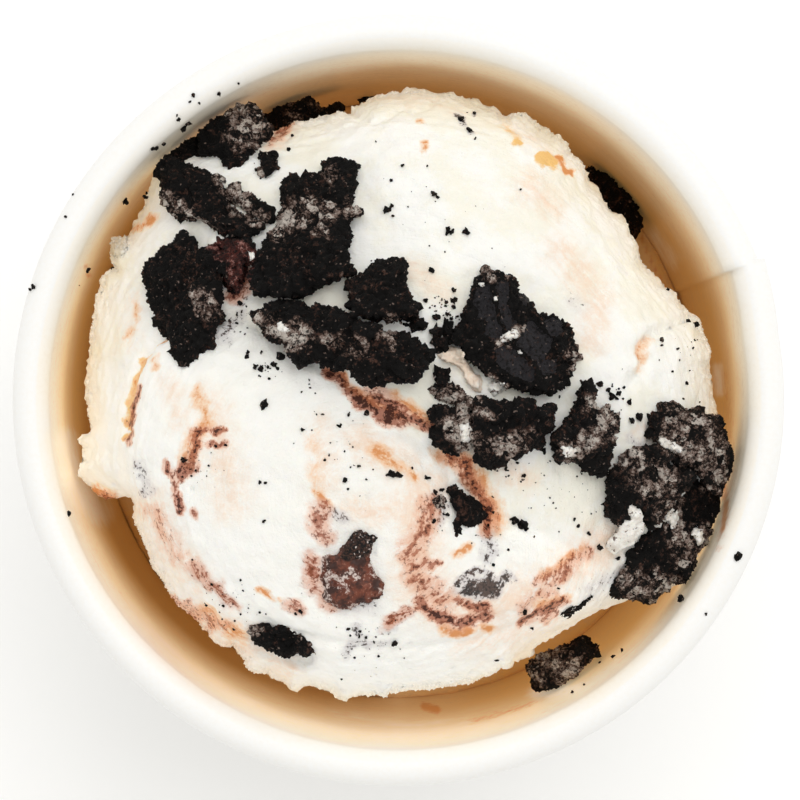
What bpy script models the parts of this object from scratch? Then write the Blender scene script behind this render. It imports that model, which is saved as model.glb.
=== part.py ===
"""Bowl of ice cream: a paper tub with two overlapping scoops, topped with broken chocolate cookies.

Metres, +Z up. The origin is the middle of the tub's foot, where it stands on a table. +Y is the far side and
+X the right-hand side of somebody looking down into the tub.

The tub is two pieces of paper board: a tapered wall whose top is curled outwards into the rim and whose bottom is
folded inwards, and a base with a skirt that is gripped in that fold. The ice cream is a broad scoop that fills the
tub, a second one pressed on top of it at the front, and a shallow pool of melted cream round their foot. Every piece
of cookie as large as a berry is an object of its own. It is shaped by how far it reaches from its middle at even
steps of angle, laid on the ice cream, and trimmed to touch what lies under it. Smaller pieces are one with the scoop.
"""

import math
from collections import namedtuple

import bmesh
import bpy
import numpy as np
from mathutils import Matrix, Vector, noise
from mathutils.bvhtree import BVHTree

MM = 0.001
GAP = 0.32 * MM  # what pieces that touch keep between them
WELD = 0.02 * MM  # closer points are one
FLAT_ENOUGH = 2.5  # degrees between two faces that a cut leaves as one
SMOOTH_UNDER = 38  # degrees between faces that are shaded as one surface

# The paper tub
TUB_HEIGHT = 60 * MM
RIM_RADIUS = 48 * MM  # to the outside of the curl
CURL_DIAMETER = 4.5 * MM
FOOT_RADIUS = 39 * MM
PAPER = 0.5 * MM
FOLD_HEIGHT = 5 * MM
FOLD_WIDTH = 2.35 * MM  # across the foot, from the wall's outside to the fold's inside
BASE_HEIGHT = 6 * MM
SKIRT_BOTTOM = 1.2 * MM
TUB_SEGMENTS = 48
CURL_STEPS = 8
CURL_END_ANGLE = -122  # degrees, where the curl stops short of the wall
SEAM_ANGLE = 21.5  # degrees, where the wall's two edges lap
LAP_WIDTH = 11.3  # degrees over which the lap fades out
LAP_CLOSE = 0.4  # degrees that the step itself takes
LAP_STEP_WALL = 0.4 * MM
LAP_STEP_RIM = 0.85 * MM
LAP_FROM = 10 * MM  # below this level the wall lies flat against the fold

CURL_RADIUS = (CURL_DIAMETER - PAPER) / 2
CURL_CENTRE = Vector((RIM_RADIUS - CURL_DIAMETER / 2, 0, TUB_HEIGHT - CURL_DIAMETER / 2))
WALL_BOTTOM = FOOT_RADIUS - PAPER / 2
WALL_SLOPE = (CURL_CENTRE.x - CURL_RADIUS - WALL_BOTTOM) / CURL_CENTRE.z

# The melted cream in the bottom
MELT_LEVEL = 10 * MM
MELT_SEGMENTS = 36

# The scoops. Lengths from here on are in millimetres where they don't say MM.
SCOOP_SEGMENTS = 64
SCOOP_RINGS = 20
UPPER_SHARE = 0.64  # of the rings lie above a scoop's widest level
SIDE_SHARE = 0.75  # of the others lie on its side, and the rest under its foot
FOOT_TAPER = 0.24  # how much narrower the foot is than the widest level
LIP_LEVEL = 0.66  # of the way from top to foot, where the scoop tool left a ragged lip
LIP_SPREAD = 0.035
LIP_RAGGED = 1.3
TOP_UNEVEN = 1.1

# A scoop is as wide as its reach, in millimetres from centre at even steps of angle, at the level widest_at. From there
# it rises to top and falls to its foot. blunt is the power of its section: 2 is round, and more is boxier.
Scoop = namedtuple("Scoop", "name centre widest_at top foot blunt lip seed reach")
SCOOPS = (
    Scoop("scoop_front", (-4.0, -15.0), 45, 70.5, 20.5, 2.8, 0.5, 3, (
        21.0, 17.5, 16.3, 16.2, 16.6, 17.6, 20.5, 25.0, 33.0, 36.4, 34.6, 31.6,
        28.7, 26.6, 24.7, 23.2, 22.6, 22.4, 22.0, 22.3, 23.6, 24.4, 26.4, 32.2)),
    Scoop("scoop_back", (0.0, 0.0), 44, 69.0, 6.7, 1.8, 0.6, 8, (
        39.6, 39.0, 35.8, 36.6, 39.0, 39.1, 38.8, 37.2, 37.4, 41.0, 40.2, 39.8,
        39.3, 40.8, 31.5, 29.5, 29.5, 30.0, 32.0, 34.0, 37.0, 38.6, 38.8, 39.4)),
)

# Broken cookies that lie on the scoops. at is the middle, seen from above; reach starts at heading and goes round
# anticlockwise; thick is the height of the slab, and sink is how much of it is pressed into what lies under it.
STEEPEST = 0.6  # slope on which a piece still lies
BROKEN_EDGE = 0.10  # how far a piece's edge strays, as a share of its reach
BROKEN_FACE = 0.5  # how far its faces stray
Piece = namedtuple("Piece", "name at heading thick sink seed reach")
PIECES = (
    Piece("cookie_face", (14.3, 8.0), 0, 4.2, 0.8, 11,
          (7.4, 5.7, 4.8, 6.9, 8.1, 6.9, 7.4, 6.6, 6.4, 6.7, 8.5, 8.6)),
    Piece("cookie_wide", (-6.6, 7.3), -14, 5.2, 0.9, 12,
          (11.3, 9.6, 5.4, 4.1, 4.5, 6.6, 11.8, 7.5, 5.2, 4.3, 6.2, 8.6)),
    Piece("cookie_tall", (-11.1, 21.2), 0, 5.0, 0.8, 13,
          (5.3, 6.6, 10.0, 7.4, 6.8, 4.4, 5.0, 8.6, 9.6, 8.3, 8.3, 6.4)),
    Piece("cookie_knob", (-1.9, 12.5), 0, 5.0, 0.8, 14,
          (3.7, 3.6, 4.9, 4.8, 4.0, 4.1, 4.3, 4.4, 3.8, 3.8, 4.4, 5.4)),
    Piece("cookie_left", (-26.6, 12.4), 0, 4.6, 0.8, 15,
          (4.4, 5.6, 8.0, 7.3, 6.4, 5.9, 4.9, 4.7, 6.1, 8.6, 6.7, 4.5)),
    Piece("cookie_fudge", (-20.9, 16.9), 0, 4.4, 0.8, 26,
          (3.4, 3.2, 3.4, 3.5, 3.0, 3.4, 4.8, 4.2)),
    Piece("cookie_shard", (-24.7, 24.8), -27, 5.0, 0.8, 16,
          (8.5, 3.9, 4.1, 3.8, 4.2, 5.7, 6.3, 5.0, 3.8, 3.3, 3.4, 5.0)),
    Piece("cookie_shard_end", (-17.6, 24.2), -50, 3.4, 0.7, 27,
          (3.1, 2.1, 1.9, 2.2, 3.0, 2.3, 2.0, 2.3)),
    Piece("cookie_crumbly", (-20.4, 32.6), 0, 6.5, 1.2, 17,
          (4.4, 4.3, 4.8, 4.1, 3.3, 4.6, 4.6, 4.0, 3.8, 4.3, 3.6, 3.9)),
    Piece("cookie_dark", (-26.9, 31.0), 35, 5.0, 1.0, 28,
          (3.2, 2.6, 2.2, 2.8, 3.6, 2.6, 2.2, 2.6)),
    Piece("cookie_mid", (13.7, -3.9), 0, 5.5, 1.0, 18,
          (5.1, 4.7, 4.2, 3.8, 4.1, 4.8, 4.5, 4.8, 5.0, 3.5, 3.4, 4.4)),
    Piece("cookie_slab", (23.3, -4.4), 0, 5.5, 1.0, 19,
          (3.7, 4.3, 4.1, 4.4, 4.1, 3.7, 4.1, 4.3, 3.9, 4.6, 5.1, 4.1)),
    Piece("cookie_right_top", (35.6, -4.6), 0, 7.0, 1.2, 20,
          (5.6, 4.6, 4.3, 4.4, 5.3, 6.2, 4.8, 3.4, 3.7, 4.8, 7.6, 7.3)),
    Piece("cookie_right_left", (30.3, -10.7), 0, 6.0, 1.2, 21,
          (4.2, 5.0, 4.8, 4.6, 4.6, 4.7, 5.2, 5.7, 5.4, 4.0, 3.2, 3.6)),
    Piece("cookie_right_dark", (36.0, -13.3), 0, 5.5, 1.0, 22,
          (4.0, 3.6, 3.2, 2.9, 3.0, 3.3, 4.0, 4.4, 3.0, 2.5, 2.9, 3.8)),
    Piece("cookie_right_low", (33.0, -19.9), 0, 7.5, 1.0, 23,
          (7.2, 7.6, 5.0, 3.8, 4.2, 4.6, 5.0, 7.5, 6.6, 4.6, 4.0, 5.4)),
    Piece("cookie_grey", (6.4, -3.4), 0, 3.6, 1.0, 25,
          (3.0, 2.8, 2.6, 3.0, 3.2, 3.0, 2.8, 3.0)),
)

# A flake of the cookies' white filling, which lies on the pieces round it
FLAKE = Piece("cream_flake", (28.0, -15.6), 62, 2.2, 0.3, 24, (3.9, 2.6, 1.5, 1.6, 3.8, 2.6, 1.6, 2.2))

# Pieces set into a scoop's surface, in a pocket of their own
SET_IN = (
    Piece("brownie", (-6.2, -21.6), 0, 5.0, 4.3, 31,
          (3.5, 3.4, 5.6, 5.0, 3.8, 4.2, 4.8, 4.6, 4.7, 4.2, 4.4, 5.6)),
    Piece("cookie_crease", (7.9, -13.4), 0, 4.5, 3.2, 32,
          (2.5, 2.4, 2.7, 3.2, 2.0, 2.2, 3.0, 2.4)),
    Piece("cookie_in_front", (-14.1, -30.2), -18, 4.4, 3.0, 33,
          (4.8, 2.9, 2.2, 2.6, 5.2, 3.0, 2.2, 2.5)),
)

# Pieces wedged between the ice cream and the wall, at an angle round the tub and between two levels
WEDGED_DEPTH = 5.0  # from the wall inwards, before the ice cream trims it
WEDGED_JAG = 0.22
Wedged = namedtuple("Wedged", "name angle low high width seed")
WEDGED = (
    Wedged("cookie_low", 301.5, 34.5, 42.5, 9.8, 41),
    Wedged("cookie_gap_back", 110.5, 25.0, 33.0, 11.0, 42),
    Wedged("cookie_gap_right", 43.0, MELT_LEVEL / MM, 23.0, 10.5, 43),
)

# Small pieces that are one with the scoop under them: (at, radius, height)
LUMP_JAG = 0.25
LUMPS = {
    "scoop_back": (
        ((-16.0, 28.8), 1.7, 1.6),
        ((23.9, 0.8), 1.1, 1.3),
        ((4.6, 2.0), 1.6, 1.5),
        ((8.6, 3.4), 2.2, 1.7),
        ((31.4, 0.6), 0.9, 1.0),
    ),
    "scoop_front": (
        ((11.3, -23.2), 2.4, 1.0),
        ((14.5, -15.0), 0.8, 0.9),
    ),
}

# Colours, roughness and metallic value of the finishes
FINISHES = {
    "paper": ((0.93, 0.92, 0.89), 0.45),
    "ice_cream": ((0.93, 0.90, 0.81), 0.5),
    "melted_cream": ((0.90, 0.83, 0.68), 0.3),
    "cookie": ((0.03, 0.02, 0.018), 0.85),
    "brownie": ((0.13, 0.045, 0.025), 0.7),
    "filling": ((0.86, 0.84, 0.78), 0.6),
}


def clear_scene():
    for obj in list(bpy.data.objects):
        bpy.data.objects.remove(obj)


def finish_of(name):
    """The finish's material, made the first time it is asked for."""
    material = bpy.data.materials.get(name)
    if material is None:
        colour, roughness = FINISHES[name]
        material = bpy.data.materials.new(name)
        material.use_nodes = True
        shader = material.node_tree.nodes["Principled BSDF"]
        shader.inputs["Base Color"].default_value = (*colour, 1)
        shader.inputs["Roughness"].default_value = roughness
        shader.inputs["Metallic"].default_value = 0
    return material


def add_object(collection, name, mesh, finish):
    obj = bpy.data.objects.new(name, mesh)
    collection.objects.link(obj)
    mesh.materials.clear()
    mesh.materials.append(finish_of(finish))
    return obj


def mesh_from(bm, name):
    bmesh.ops.recalc_face_normals(bm, faces=bm.faces)
    mesh = bpy.data.meshes.new(name)
    bm.to_mesh(mesh)
    bm.free()
    return mesh


def evaluated_mesh(obj):
    """The object's mesh with its modifiers applied, in world space."""
    graph = bpy.context.evaluated_depsgraph_get()
    mesh = bpy.data.meshes.new_from_object(obj.evaluated_get(graph))
    mesh.transform(obj.matrix_world)
    return mesh


def bake_modifiers(obj):
    """Replaces the object's mesh by the evaluated one and drops its modifiers."""
    mesh = evaluated_mesh(obj)
    obj.modifiers.clear()
    obj.data = mesh


def set_origin(obj):
    """Moves the object's origin to the foot of its own middle, with its shape left where it is."""
    points = np.array([v.co for v in obj.data.vertices])
    low, high = points.min(0), points.max(0)
    foot = Vector(((low[0] + high[0]) / 2, (low[1] + high[1]) / 2, low[2]))
    obj.data.transform(Matrix.Translation(-foot))
    obj.location = foot


# ---------------------------------------------------------------- the paper tub


def wall_radius(z):
    """Radius of the middle of the wall's paper at a height."""
    return WALL_BOTTOM + WALL_SLOPE * z


def inner_radius(z):
    return wall_radius(z) - PAPER / 2


def turned_surface(name, points, segments=TUB_SEGMENTS):
    """An open surface, turned about Z from a profile of (radius, height) points, as an object."""
    mesh = bpy.data.meshes.new(name)
    edges = [(i, i + 1) for i in range(len(points) - 1)]
    mesh.from_pydata([(r, 0, z) for r, z in points], edges, [])
    obj = bpy.data.objects.new(name, mesh)
    bpy.context.scene.collection.objects.link(obj)
    screw = obj.modifiers.new("turn", "SCREW")
    screw.steps = screw.render_steps = segments
    screw.use_merge_vertices = True
    screw.merge_threshold = 0.00002
    screw.use_normal_calculate = True
    return obj


def wall_profile():
    """The paper's middle line, from the end of the curl down to the foot and up the fold."""
    curl = []
    for i in range(CURL_STEPS + 1):
        angle = math.radians(CURL_END_ANGLE + (180 - CURL_END_ANGLE) * i / CURL_STEPS)
        curl.append((CURL_CENTRE.x + CURL_RADIUS * math.cos(angle), CURL_CENTRE.z + CURL_RADIUS * math.sin(angle)))
    fold = FOOT_RADIUS - FOLD_WIDTH + PAPER / 2
    return curl + [
        (wall_radius(TUB_HEIGHT / 2), TUB_HEIGHT / 2),
        (wall_radius(FOLD_HEIGHT), FOLD_HEIGHT),
        (wall_radius(PAPER / 2), PAPER / 2),
        (fold, PAPER / 2),
        (fold + WALL_SLOPE * FOLD_HEIGHT, FOLD_HEIGHT),
    ]


def lap_wall(mesh):
    """Turns the wall to its seam and steps it outwards there, where one edge of the paper laps over the other."""
    column = 360 / TUB_SEGMENTS
    for vertex in mesh.vertices:
        radius = math.hypot(vertex.co.x, vertex.co.y)
        past_seam = math.degrees(math.atan2(vertex.co.y, vertex.co.x))
        if abs(past_seam - column) < LAP_CLOSE / 2:
            past_seam = LAP_CLOSE  # this column of points closes the step
        rise = (vertex.co.z - LAP_FROM) / (TUB_HEIGHT - LAP_FROM)
        step = LAP_STEP_WALL + (LAP_STEP_RIM - LAP_STEP_WALL) * rise if rise > 0 else 0
        fade = 1 + past_seam / LAP_WIDTH if -LAP_WIDTH < past_seam < LAP_CLOSE / 2 else 0
        angle = math.radians(past_seam + SEAM_ANGLE)
        radius += step * fade
        vertex.co.x = radius * math.cos(angle)
        vertex.co.y = radius * math.sin(angle)


def make_tub(collection):
    wall = turned_surface("wall_sheet", wall_profile())
    lapped = evaluated_mesh(wall)
    bpy.data.objects.remove(wall)
    lap_wall(lapped)
    wall = add_object(collection, "tub_wall", lapped, "paper")
    thicken(wall)

    skirt = wall_radius(SKIRT_BOTTOM) - (FOLD_WIDTH - PAPER) / 2
    base = turned_surface("base_sheet", [
        (skirt, SKIRT_BOTTOM),
        (skirt + WALL_SLOPE * (BASE_HEIGHT - SKIRT_BOTTOM - PAPER), BASE_HEIGHT - PAPER),
        (skirt + WALL_SLOPE * (BASE_HEIGHT - SKIRT_BOTTOM) - PAPER, BASE_HEIGHT),
        (0, BASE_HEIGHT),
    ])
    disc = evaluated_mesh(base)
    bpy.data.objects.remove(base)
    thicken(add_object(collection, "tub_base", disc, "paper"))


def thicken(obj):
    """Gives a sheet of paper its thickness, half to each side."""
    solid = obj.modifiers.new("paper", "SOLIDIFY")
    solid.thickness = PAPER
    solid.offset = 0
    solid.use_even_offset = True
    solid.use_rim = True


# ---------------------------------------------------------------- forms that follow a reach


def reach_at(reach, angle):
    """How far an outline goes at an angle, smoothly between the even steps that reach gives."""
    count = len(reach)
    place = (angle % (2 * math.pi)) / (2 * math.pi) * count
    index = int(place)
    t = place - index
    before, start, end, after = (reach[(index + i) % count] for i in (-1, 0, 1, 2))
    bend = (2 * before - 5 * start + 4 * end - after) * t * t + (3 * (start - end) + after - before) * t ** 3
    return (2 * start + (end - before) * t + bend) / 2


def rough(point, scale, seed):
    """Smooth noise from -1 to 1 whose bumps are about scale across."""
    return noise.noise(Vector(point) / scale + Vector((seed * 7.3, seed * 3.1, seed * 5.7)))


def grown(mesh, distance):
    """A copy of a closed mesh with its surface moved outwards."""
    bm = bmesh.new()
    bm.from_mesh(mesh)
    bmesh.ops.remove_doubles(bm, verts=bm.verts, dist=WELD)
    bm.normal_update()
    moves = [(v, v.normal * distance * v.calc_shell_factor()) for v in bm.verts]
    for vertex, move in moves:
        longest = 2 * distance
        vertex.co += move if move.length < longest else move.normalized() * longest
    return mesh_from(bm, "grown")


def boolean(obj, operation, meshes):
    """Cuts meshes out of an object, or joins them to it, and keeps its largest closed body."""
    helpers = []
    for mesh in meshes:
        helper = bpy.data.objects.new("helper", mesh)
        bpy.context.scene.collection.objects.link(helper)
        step = obj.modifiers.new("fit", "BOOLEAN")
        step.operation = operation
        step.solver = "EXACT"
        step.object = helper
        helpers.append(helper)
    bake_modifiers(obj)
    for helper in helpers:
        bpy.data.objects.remove(helper)
    keep_largest_body(obj.data)


def keep_largest_body(mesh):
    """Merges what a cut left double, and drops loose scraps."""
    bm = bmesh.new()
    bm.from_mesh(mesh)
    bmesh.ops.remove_doubles(bm, verts=bm.verts, dist=WELD)
    bmesh.ops.dissolve_degenerate(bm, edges=bm.edges, dist=WELD)
    bmesh.ops.dissolve_limit(bm, angle_limit=math.radians(FLAT_ENOUGH), verts=bm.verts, edges=bm.edges)
    bmesh.ops.triangulate(bm, faces=bm.faces)
    left = set(bm.verts)
    largest = set()
    while left:
        body, edge = set(), [next(iter(left))]
        while edge:
            vertex = edge.pop()
            if vertex not in body:
                body.add(vertex)
                edge += [e.other_vert(vertex) for e in vertex.link_edges]
        left -= body
        if len(body) > len(largest):
            largest = body
    bmesh.ops.delete(bm, geom=[v for v in bm.verts if v not in largest], context="VERTS")
    bm.to_mesh(mesh)
    bm.free()


# ---------------------------------------------------------------- ice cream


def scoop_section(level, blunt):
    """(share of the reach, share of the height) of a scoop's section, for a level from 0, its top, to 1, its foot."""
    if level <= UPPER_SHARE:
        turn = math.pi / 2 * level / UPPER_SHARE
        return math.sin(turn) ** (2 / blunt), max(0.0, math.cos(turn)) ** (2 / blunt)
    fall = (level - UPPER_SHARE) / (1 - UPPER_SHARE)
    if fall < SIDE_SHARE:
        return 1 - FOOT_TAPER * (fall / SIDE_SHARE) ** 1.6, -fall / SIDE_SHARE
    return (1 - FOOT_TAPER) * (1 - fall) / (1 - SIDE_SHARE), -1.0


def scoop_mesh(scoop):
    bm = bmesh.new()
    bmesh.ops.create_uvsphere(bm, u_segments=SCOOP_SEGMENTS, v_segments=SCOOP_RINGS, radius=1)
    for vertex in bm.verts:
        angle = math.atan2(vertex.co.y, vertex.co.x)
        level = math.acos(max(-1.0, min(1.0, vertex.co.z))) / math.pi
        share, height = scoop_section(level, scoop.blunt)
        reach = reach_at(scoop.reach, angle)
        rim = math.exp(-(((level - LIP_LEVEL) / LIP_SPREAD) ** 2))
        edge = (math.cos(angle) * reach, math.sin(angle) * reach, 0)
        ragged = rough(edge, 3.2, scoop.seed) + 0.6 * rough(edge, 7, scoop.seed + 1)
        radius = reach * share + rim * (scoop.lip + LIP_RAGGED * ragged)
        x = scoop.centre[0] + radius * math.cos(angle)
        y = scoop.centre[1] + radius * math.sin(angle)
        if height > 0:
            z = scoop.widest_at + height * (scoop.top - scoop.widest_at)
            soft = rough((x, y, z), 13, scoop.seed + 2) + 0.4 * rough((x, y, z), 5, scoop.seed + 3)
            z += TOP_UNEVEN * soft * (1 - 0.6 * rim)
        else:
            z = scoop.widest_at + height * (scoop.widest_at - scoop.foot)
        limit = (inner_radius(z * MM) - 2 * GAP) / MM
        far = math.hypot(x, y)
        if far > limit:
            x, y = x * limit / far, y * limit / far
        vertex.co = Vector((x, y, z)) * MM
    return mesh_from(bm, scoop.name)


def lump_mesh(surface, at, radius, height):
    """A small rough piece that stands on the surface, for fusing to it."""
    bm = bmesh.new()
    bmesh.ops.create_icosphere(bm, subdivisions=1, radius=1)
    foot = surface_height(surface, *at) / MM
    for vertex in bm.verts:
        size = 1 + LUMP_JAG * rough(vertex.co, 0.8, radius)
        x, y, z = vertex.co * size
        vertex.co = Vector(((at[0] + x * radius) * MM, (at[1] + y * radius) * MM, foot + z * height * MM))
    return mesh_from(bm, "lump")


def surface_tree(objects):
    """What a ray from above hits: the surfaces of these objects."""
    points, faces = [], []
    for obj in objects:
        start = len(points)
        points += [v.co.copy() for v in obj.data.vertices]
        faces += [[start + i for i in p.vertices] for p in obj.data.polygons]
    return BVHTree.FromPolygons(points, faces)


def surface_height(tree, x, y):
    """Height in metres of the surface under a point given in millimetres, or None beside it."""
    hit = tree.ray_cast(Vector((x * MM, y * MM, 1)), Vector((0, 0, -1)))[0]
    return None if hit is None else hit.z


def resting_plane(tree, at, spread):
    """(height, slope in x, slope in y) of the plane that fits the surface round a point, never too steep to lie on."""
    rows, heights = [], []
    for i in range(12):
        angle = i * math.pi / 6
        for far in (0.0, 0.5 * spread, spread):
            dx, dy = far * math.cos(angle), far * math.sin(angle)
            z = surface_height(tree, at[0] + dx, at[1] + dy)
            if z is not None and z > 0.7 * TUB_HEIGHT:
                rows.append((1, dx, dy))
                heights.append(z / MM)
    rows, heights = np.array(rows), np.array(heights)
    slopes = np.linalg.lstsq(rows, heights, rcond=None)[0][1:]
    slopes *= min(1.0, STEEPEST / max(1e-6, float(np.linalg.norm(slopes))))
    above = np.sort(heights - rows[:, 1:] @ slopes)
    carried_by = above[-max(1, len(above) // 3):]
    return float(carried_by.mean()), float(slopes[0]), float(slopes[1])


# ---------------------------------------------------------------- cookies


def slab_mesh(piece, plane):
    """A broken slab with the piece's outline, its faces parallel to the plane that it lies on."""
    height, slope_x, slope_y = plane
    bm = bmesh.new()
    bmesh.ops.create_uvsphere(bm, u_segments=8 + len(piece.reach), v_segments=5, radius=1)
    for vertex in bm.verts:
        flat = math.hypot(vertex.co.x, vertex.co.y)
        angle = math.atan2(vertex.co.y, vertex.co.x)
        up = math.copysign(abs(vertex.co.z) ** 0.55, vertex.co.z)
        reach = reach_at(piece.reach, angle - math.radians(piece.heading)) * flat ** 0.45
        reach *= 1 + BROKEN_EDGE * flat * rough((math.cos(angle), math.sin(angle), up / 2), 0.25, piece.seed)
        dx = reach * math.cos(angle)
        dy = reach * math.sin(angle)
        z = height - piece.sink + slope_x * dx + slope_y * dy + piece.thick * (1 + up) / 2
        z += BROKEN_FACE * rough((dx, dy, up), 2.6, piece.seed + 1)
        vertex.co = Vector((piece.at[0] + dx, piece.at[1] + dy, z)) * MM
    return mesh_from(bm, piece.name)


def keep_off_wall(mesh):
    """Moves points that would lie in the wall or the rim inwards, clear of it."""
    for vertex in mesh.vertices:
        z = min(vertex.co.z, TUB_HEIGHT - CURL_DIAMETER / 2)
        limit = inner_radius(z) - GAP
        far = math.hypot(vertex.co.x, vertex.co.y)
        if far > limit and vertex.co.z < TUB_HEIGHT + GAP:
            vertex.co.x *= limit / far
            vertex.co.y *= limit / far


def wedged_mesh(piece):
    """A rough block that reaches from inside the scoop to the wall, for trimming by the scoop."""
    bm = bmesh.new()
    bmesh.ops.create_uvsphere(bm, u_segments=16, v_segments=8, radius=1)
    turn = math.radians(piece.angle)
    middle, half = (piece.low + piece.high) / 2, (piece.high - piece.low) / 2
    for vertex in bm.verts:
        out, side, up = (math.copysign(abs(value) ** 0.6, value) for value in vertex.co)
        jag = 1 + WEDGED_JAG * rough(vertex.co, 0.5, piece.seed)
        z = middle + half * up * min(jag, 1.0)
        outer = (inner_radius(z * MM) - GAP) / MM
        radius = outer - WEDGED_DEPTH * (1 - out) / 2 * jag
        across = piece.width / 2 * side * jag
        x = radius * math.cos(turn) - across * math.sin(turn)
        y = radius * math.sin(turn) + across * math.cos(turn)
        inwards = min(1.0, outer / math.hypot(x, y))
        vertex.co = Vector((x * inwards, y * inwards, z)) * MM
    return mesh_from(bm, piece.name)


def near(mesh, other):
    """True if the boxes of two meshes come within a millimetre of each other."""
    a = np.array([v.co for v in mesh.vertices])
    b = np.array([v.co for v in other.vertices])
    return bool(np.all(a.min(0) < b.max(0) + MM) and np.all(b.min(0) < a.max(0) + MM))


def trim(obj, neighbours):
    """Cuts an object back to a gap from each neighbour that it comes near."""
    cutters = [grown(other.data, GAP) for other in neighbours if near(obj.data, other.data)]
    if cutters:
        boolean(obj, "DIFFERENCE", cutters)


def make_food(collection):
    """The scoops, then what is set in them, lies on them and is wedged beside them, each fitted to what is there."""
    scoops = {s.name: add_object(collection, s.name, scoop_mesh(s), "ice_cream") for s in SCOOPS}
    front, back = scoops["scoop_front"], scoops["scoop_back"]
    trim(back, [front])
    ice_cream = surface_tree(scoops.values())

    set_in = []
    for piece in SET_IN:
        plane = resting_plane(ice_cream, piece.at, 0.6 * min(piece.reach))
        finish = "brownie" if piece.name == "brownie" else "cookie"
        set_in.append(add_object(collection, piece.name, slab_mesh(piece, plane), finish))
    for scoop in scoops.values():
        trim(scoop, set_in)
        lumps = [lump_mesh(ice_cream, *lump) for lump in LUMPS[scoop.name]]
        boolean(scoop, "UNION", lumps)

    placed = [front, back, *set_in]
    for piece in PIECES:
        plane = resting_plane(ice_cream, piece.at, 0.8 * min(piece.reach))
        mesh = slab_mesh(piece, plane)
        keep_off_wall(mesh)
        obj = add_object(collection, piece.name, mesh, "cookie")
        trim(obj, placed)
        placed.append(obj)
    plane = resting_plane(surface_tree(placed), FLAKE.at, min(FLAKE.reach))
    flake = add_object(collection, FLAKE.name, slab_mesh(FLAKE, plane), "filling")
    trim(flake, placed)
    placed.append(flake)
    for piece in WEDGED:
        obj = add_object(collection, piece.name, wedged_mesh(piece), "cookie")
        trim(obj, placed)
        placed.append(obj)

    melt = turned_surface("melt_sheet", [
        (0, MELT_LEVEL - GAP),
        (inner_radius(MELT_LEVEL) - GAP, MELT_LEVEL - GAP),
        (inner_radius(BASE_HEIGHT) - GAP, BASE_HEIGHT + PAPER / 2 + GAP),
        (0, BASE_HEIGHT + PAPER / 2 + GAP),
    ], MELT_SEGMENTS)
    pool = add_object(collection, "melted_cream", evaluated_mesh(melt), "melted_cream")
    bpy.data.objects.remove(melt)
    trim(pool, placed)
    for obj in (*placed, pool):
        set_origin(obj)


def main():
    clear_scene()
    collection = bpy.data.collections.new("bowl_of_ice_cream")
    bpy.context.scene.collection.children.link(collection)
    make_tub(collection)
    make_food(collection)
    stand = bpy.data.objects.new("bowl_foot", None)
    parts = list(collection.objects)
    collection.objects.link(stand)
    for obj in parts:
        obj.parent = stand
        obj.data.shade_smooth()
        obj.data.set_sharp_from_angle(angle=math.radians(SMOOTH_UNDER))


main()
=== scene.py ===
"""Bowl of ice cream: the finish of a paper tub, the two scoops in it and the broken cookies on top.

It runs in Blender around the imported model, whose nodes give the places and sizes. Metres, +Z up; +Y is the
far side. A place that was read off the photo is written in the photo's pixels, 800 each way from the top left
corner, and is turned into metres where the photo's camera saw it.
"""

import math

import bmesh
import bpy
import numpy as np
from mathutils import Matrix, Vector, noise
from mathutils.bvhtree import BVHTree


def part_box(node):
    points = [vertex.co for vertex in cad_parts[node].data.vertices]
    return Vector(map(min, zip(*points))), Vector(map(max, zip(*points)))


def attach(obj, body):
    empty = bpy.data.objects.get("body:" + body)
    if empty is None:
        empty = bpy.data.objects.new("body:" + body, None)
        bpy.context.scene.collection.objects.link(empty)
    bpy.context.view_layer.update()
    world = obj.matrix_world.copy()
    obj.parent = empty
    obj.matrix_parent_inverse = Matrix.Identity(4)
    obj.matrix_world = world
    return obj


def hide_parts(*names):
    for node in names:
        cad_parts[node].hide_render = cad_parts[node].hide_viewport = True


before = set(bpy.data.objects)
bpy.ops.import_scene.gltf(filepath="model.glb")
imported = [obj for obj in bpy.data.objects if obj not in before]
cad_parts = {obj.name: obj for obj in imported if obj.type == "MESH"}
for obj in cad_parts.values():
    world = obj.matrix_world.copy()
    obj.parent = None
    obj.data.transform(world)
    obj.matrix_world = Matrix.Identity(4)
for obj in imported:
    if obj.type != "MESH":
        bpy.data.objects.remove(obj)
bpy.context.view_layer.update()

# ---------------------------------------------------------------- the view and the studio
# The camera hangs straight above the tub, so far up that the wall shows only as a narrow band inside the
# rim. One large soft light stands beyond the tub, a little to the right, and a pale room fills the shadows.

MM = 0.001
PHOTO_SIDE = 800  # pixels
PHOTO_SCALE = 8.06  # pixels for a millimetre at the rim's level
TUB_MIDDLE = 398.5, 400.0  # pixels
VIEW_HEIGHT = 800 * MM  # from the rim up to the camera
SENSOR_WIDTH = 36.0
FLOOR_SIDE = 6.0
FLOOR_DEPTH = 0.05 * MM  # just under the tub's foot
ROOM_LIGHT = 0.84
KEY_PLACE = 0.5, 1.3, 2.8
KEY_SIZE = 2.4
KEY_POWER = 34.0

rim_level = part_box("tub_wall")[1].z
eye = Vector((
    (PHOTO_SIDE / 2 - TUB_MIDDLE[0]) / PHOTO_SCALE * MM,
    (TUB_MIDDLE[1] - PHOTO_SIDE / 2) / PHOTO_SCALE * MM,
    rim_level + VIEW_HEIGHT,
))


def srgb(red, green, blue):
    """A colour as a screen shows it, 0 to 255, as the linear RGBA that a shader takes."""
    channels = [value / 255 for value in (red, green, blue)]
    return (*(c / 12.92 if c <= 0.04045 else ((c + 0.055) / 1.055) ** 2.4 for c in channels), 1.0)


def add_to_scene(name, data):
    """A new object that shows the data."""
    obj = bpy.data.objects.new(name, data)
    bpy.context.scene.collection.objects.link(obj)
    return obj


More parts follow.
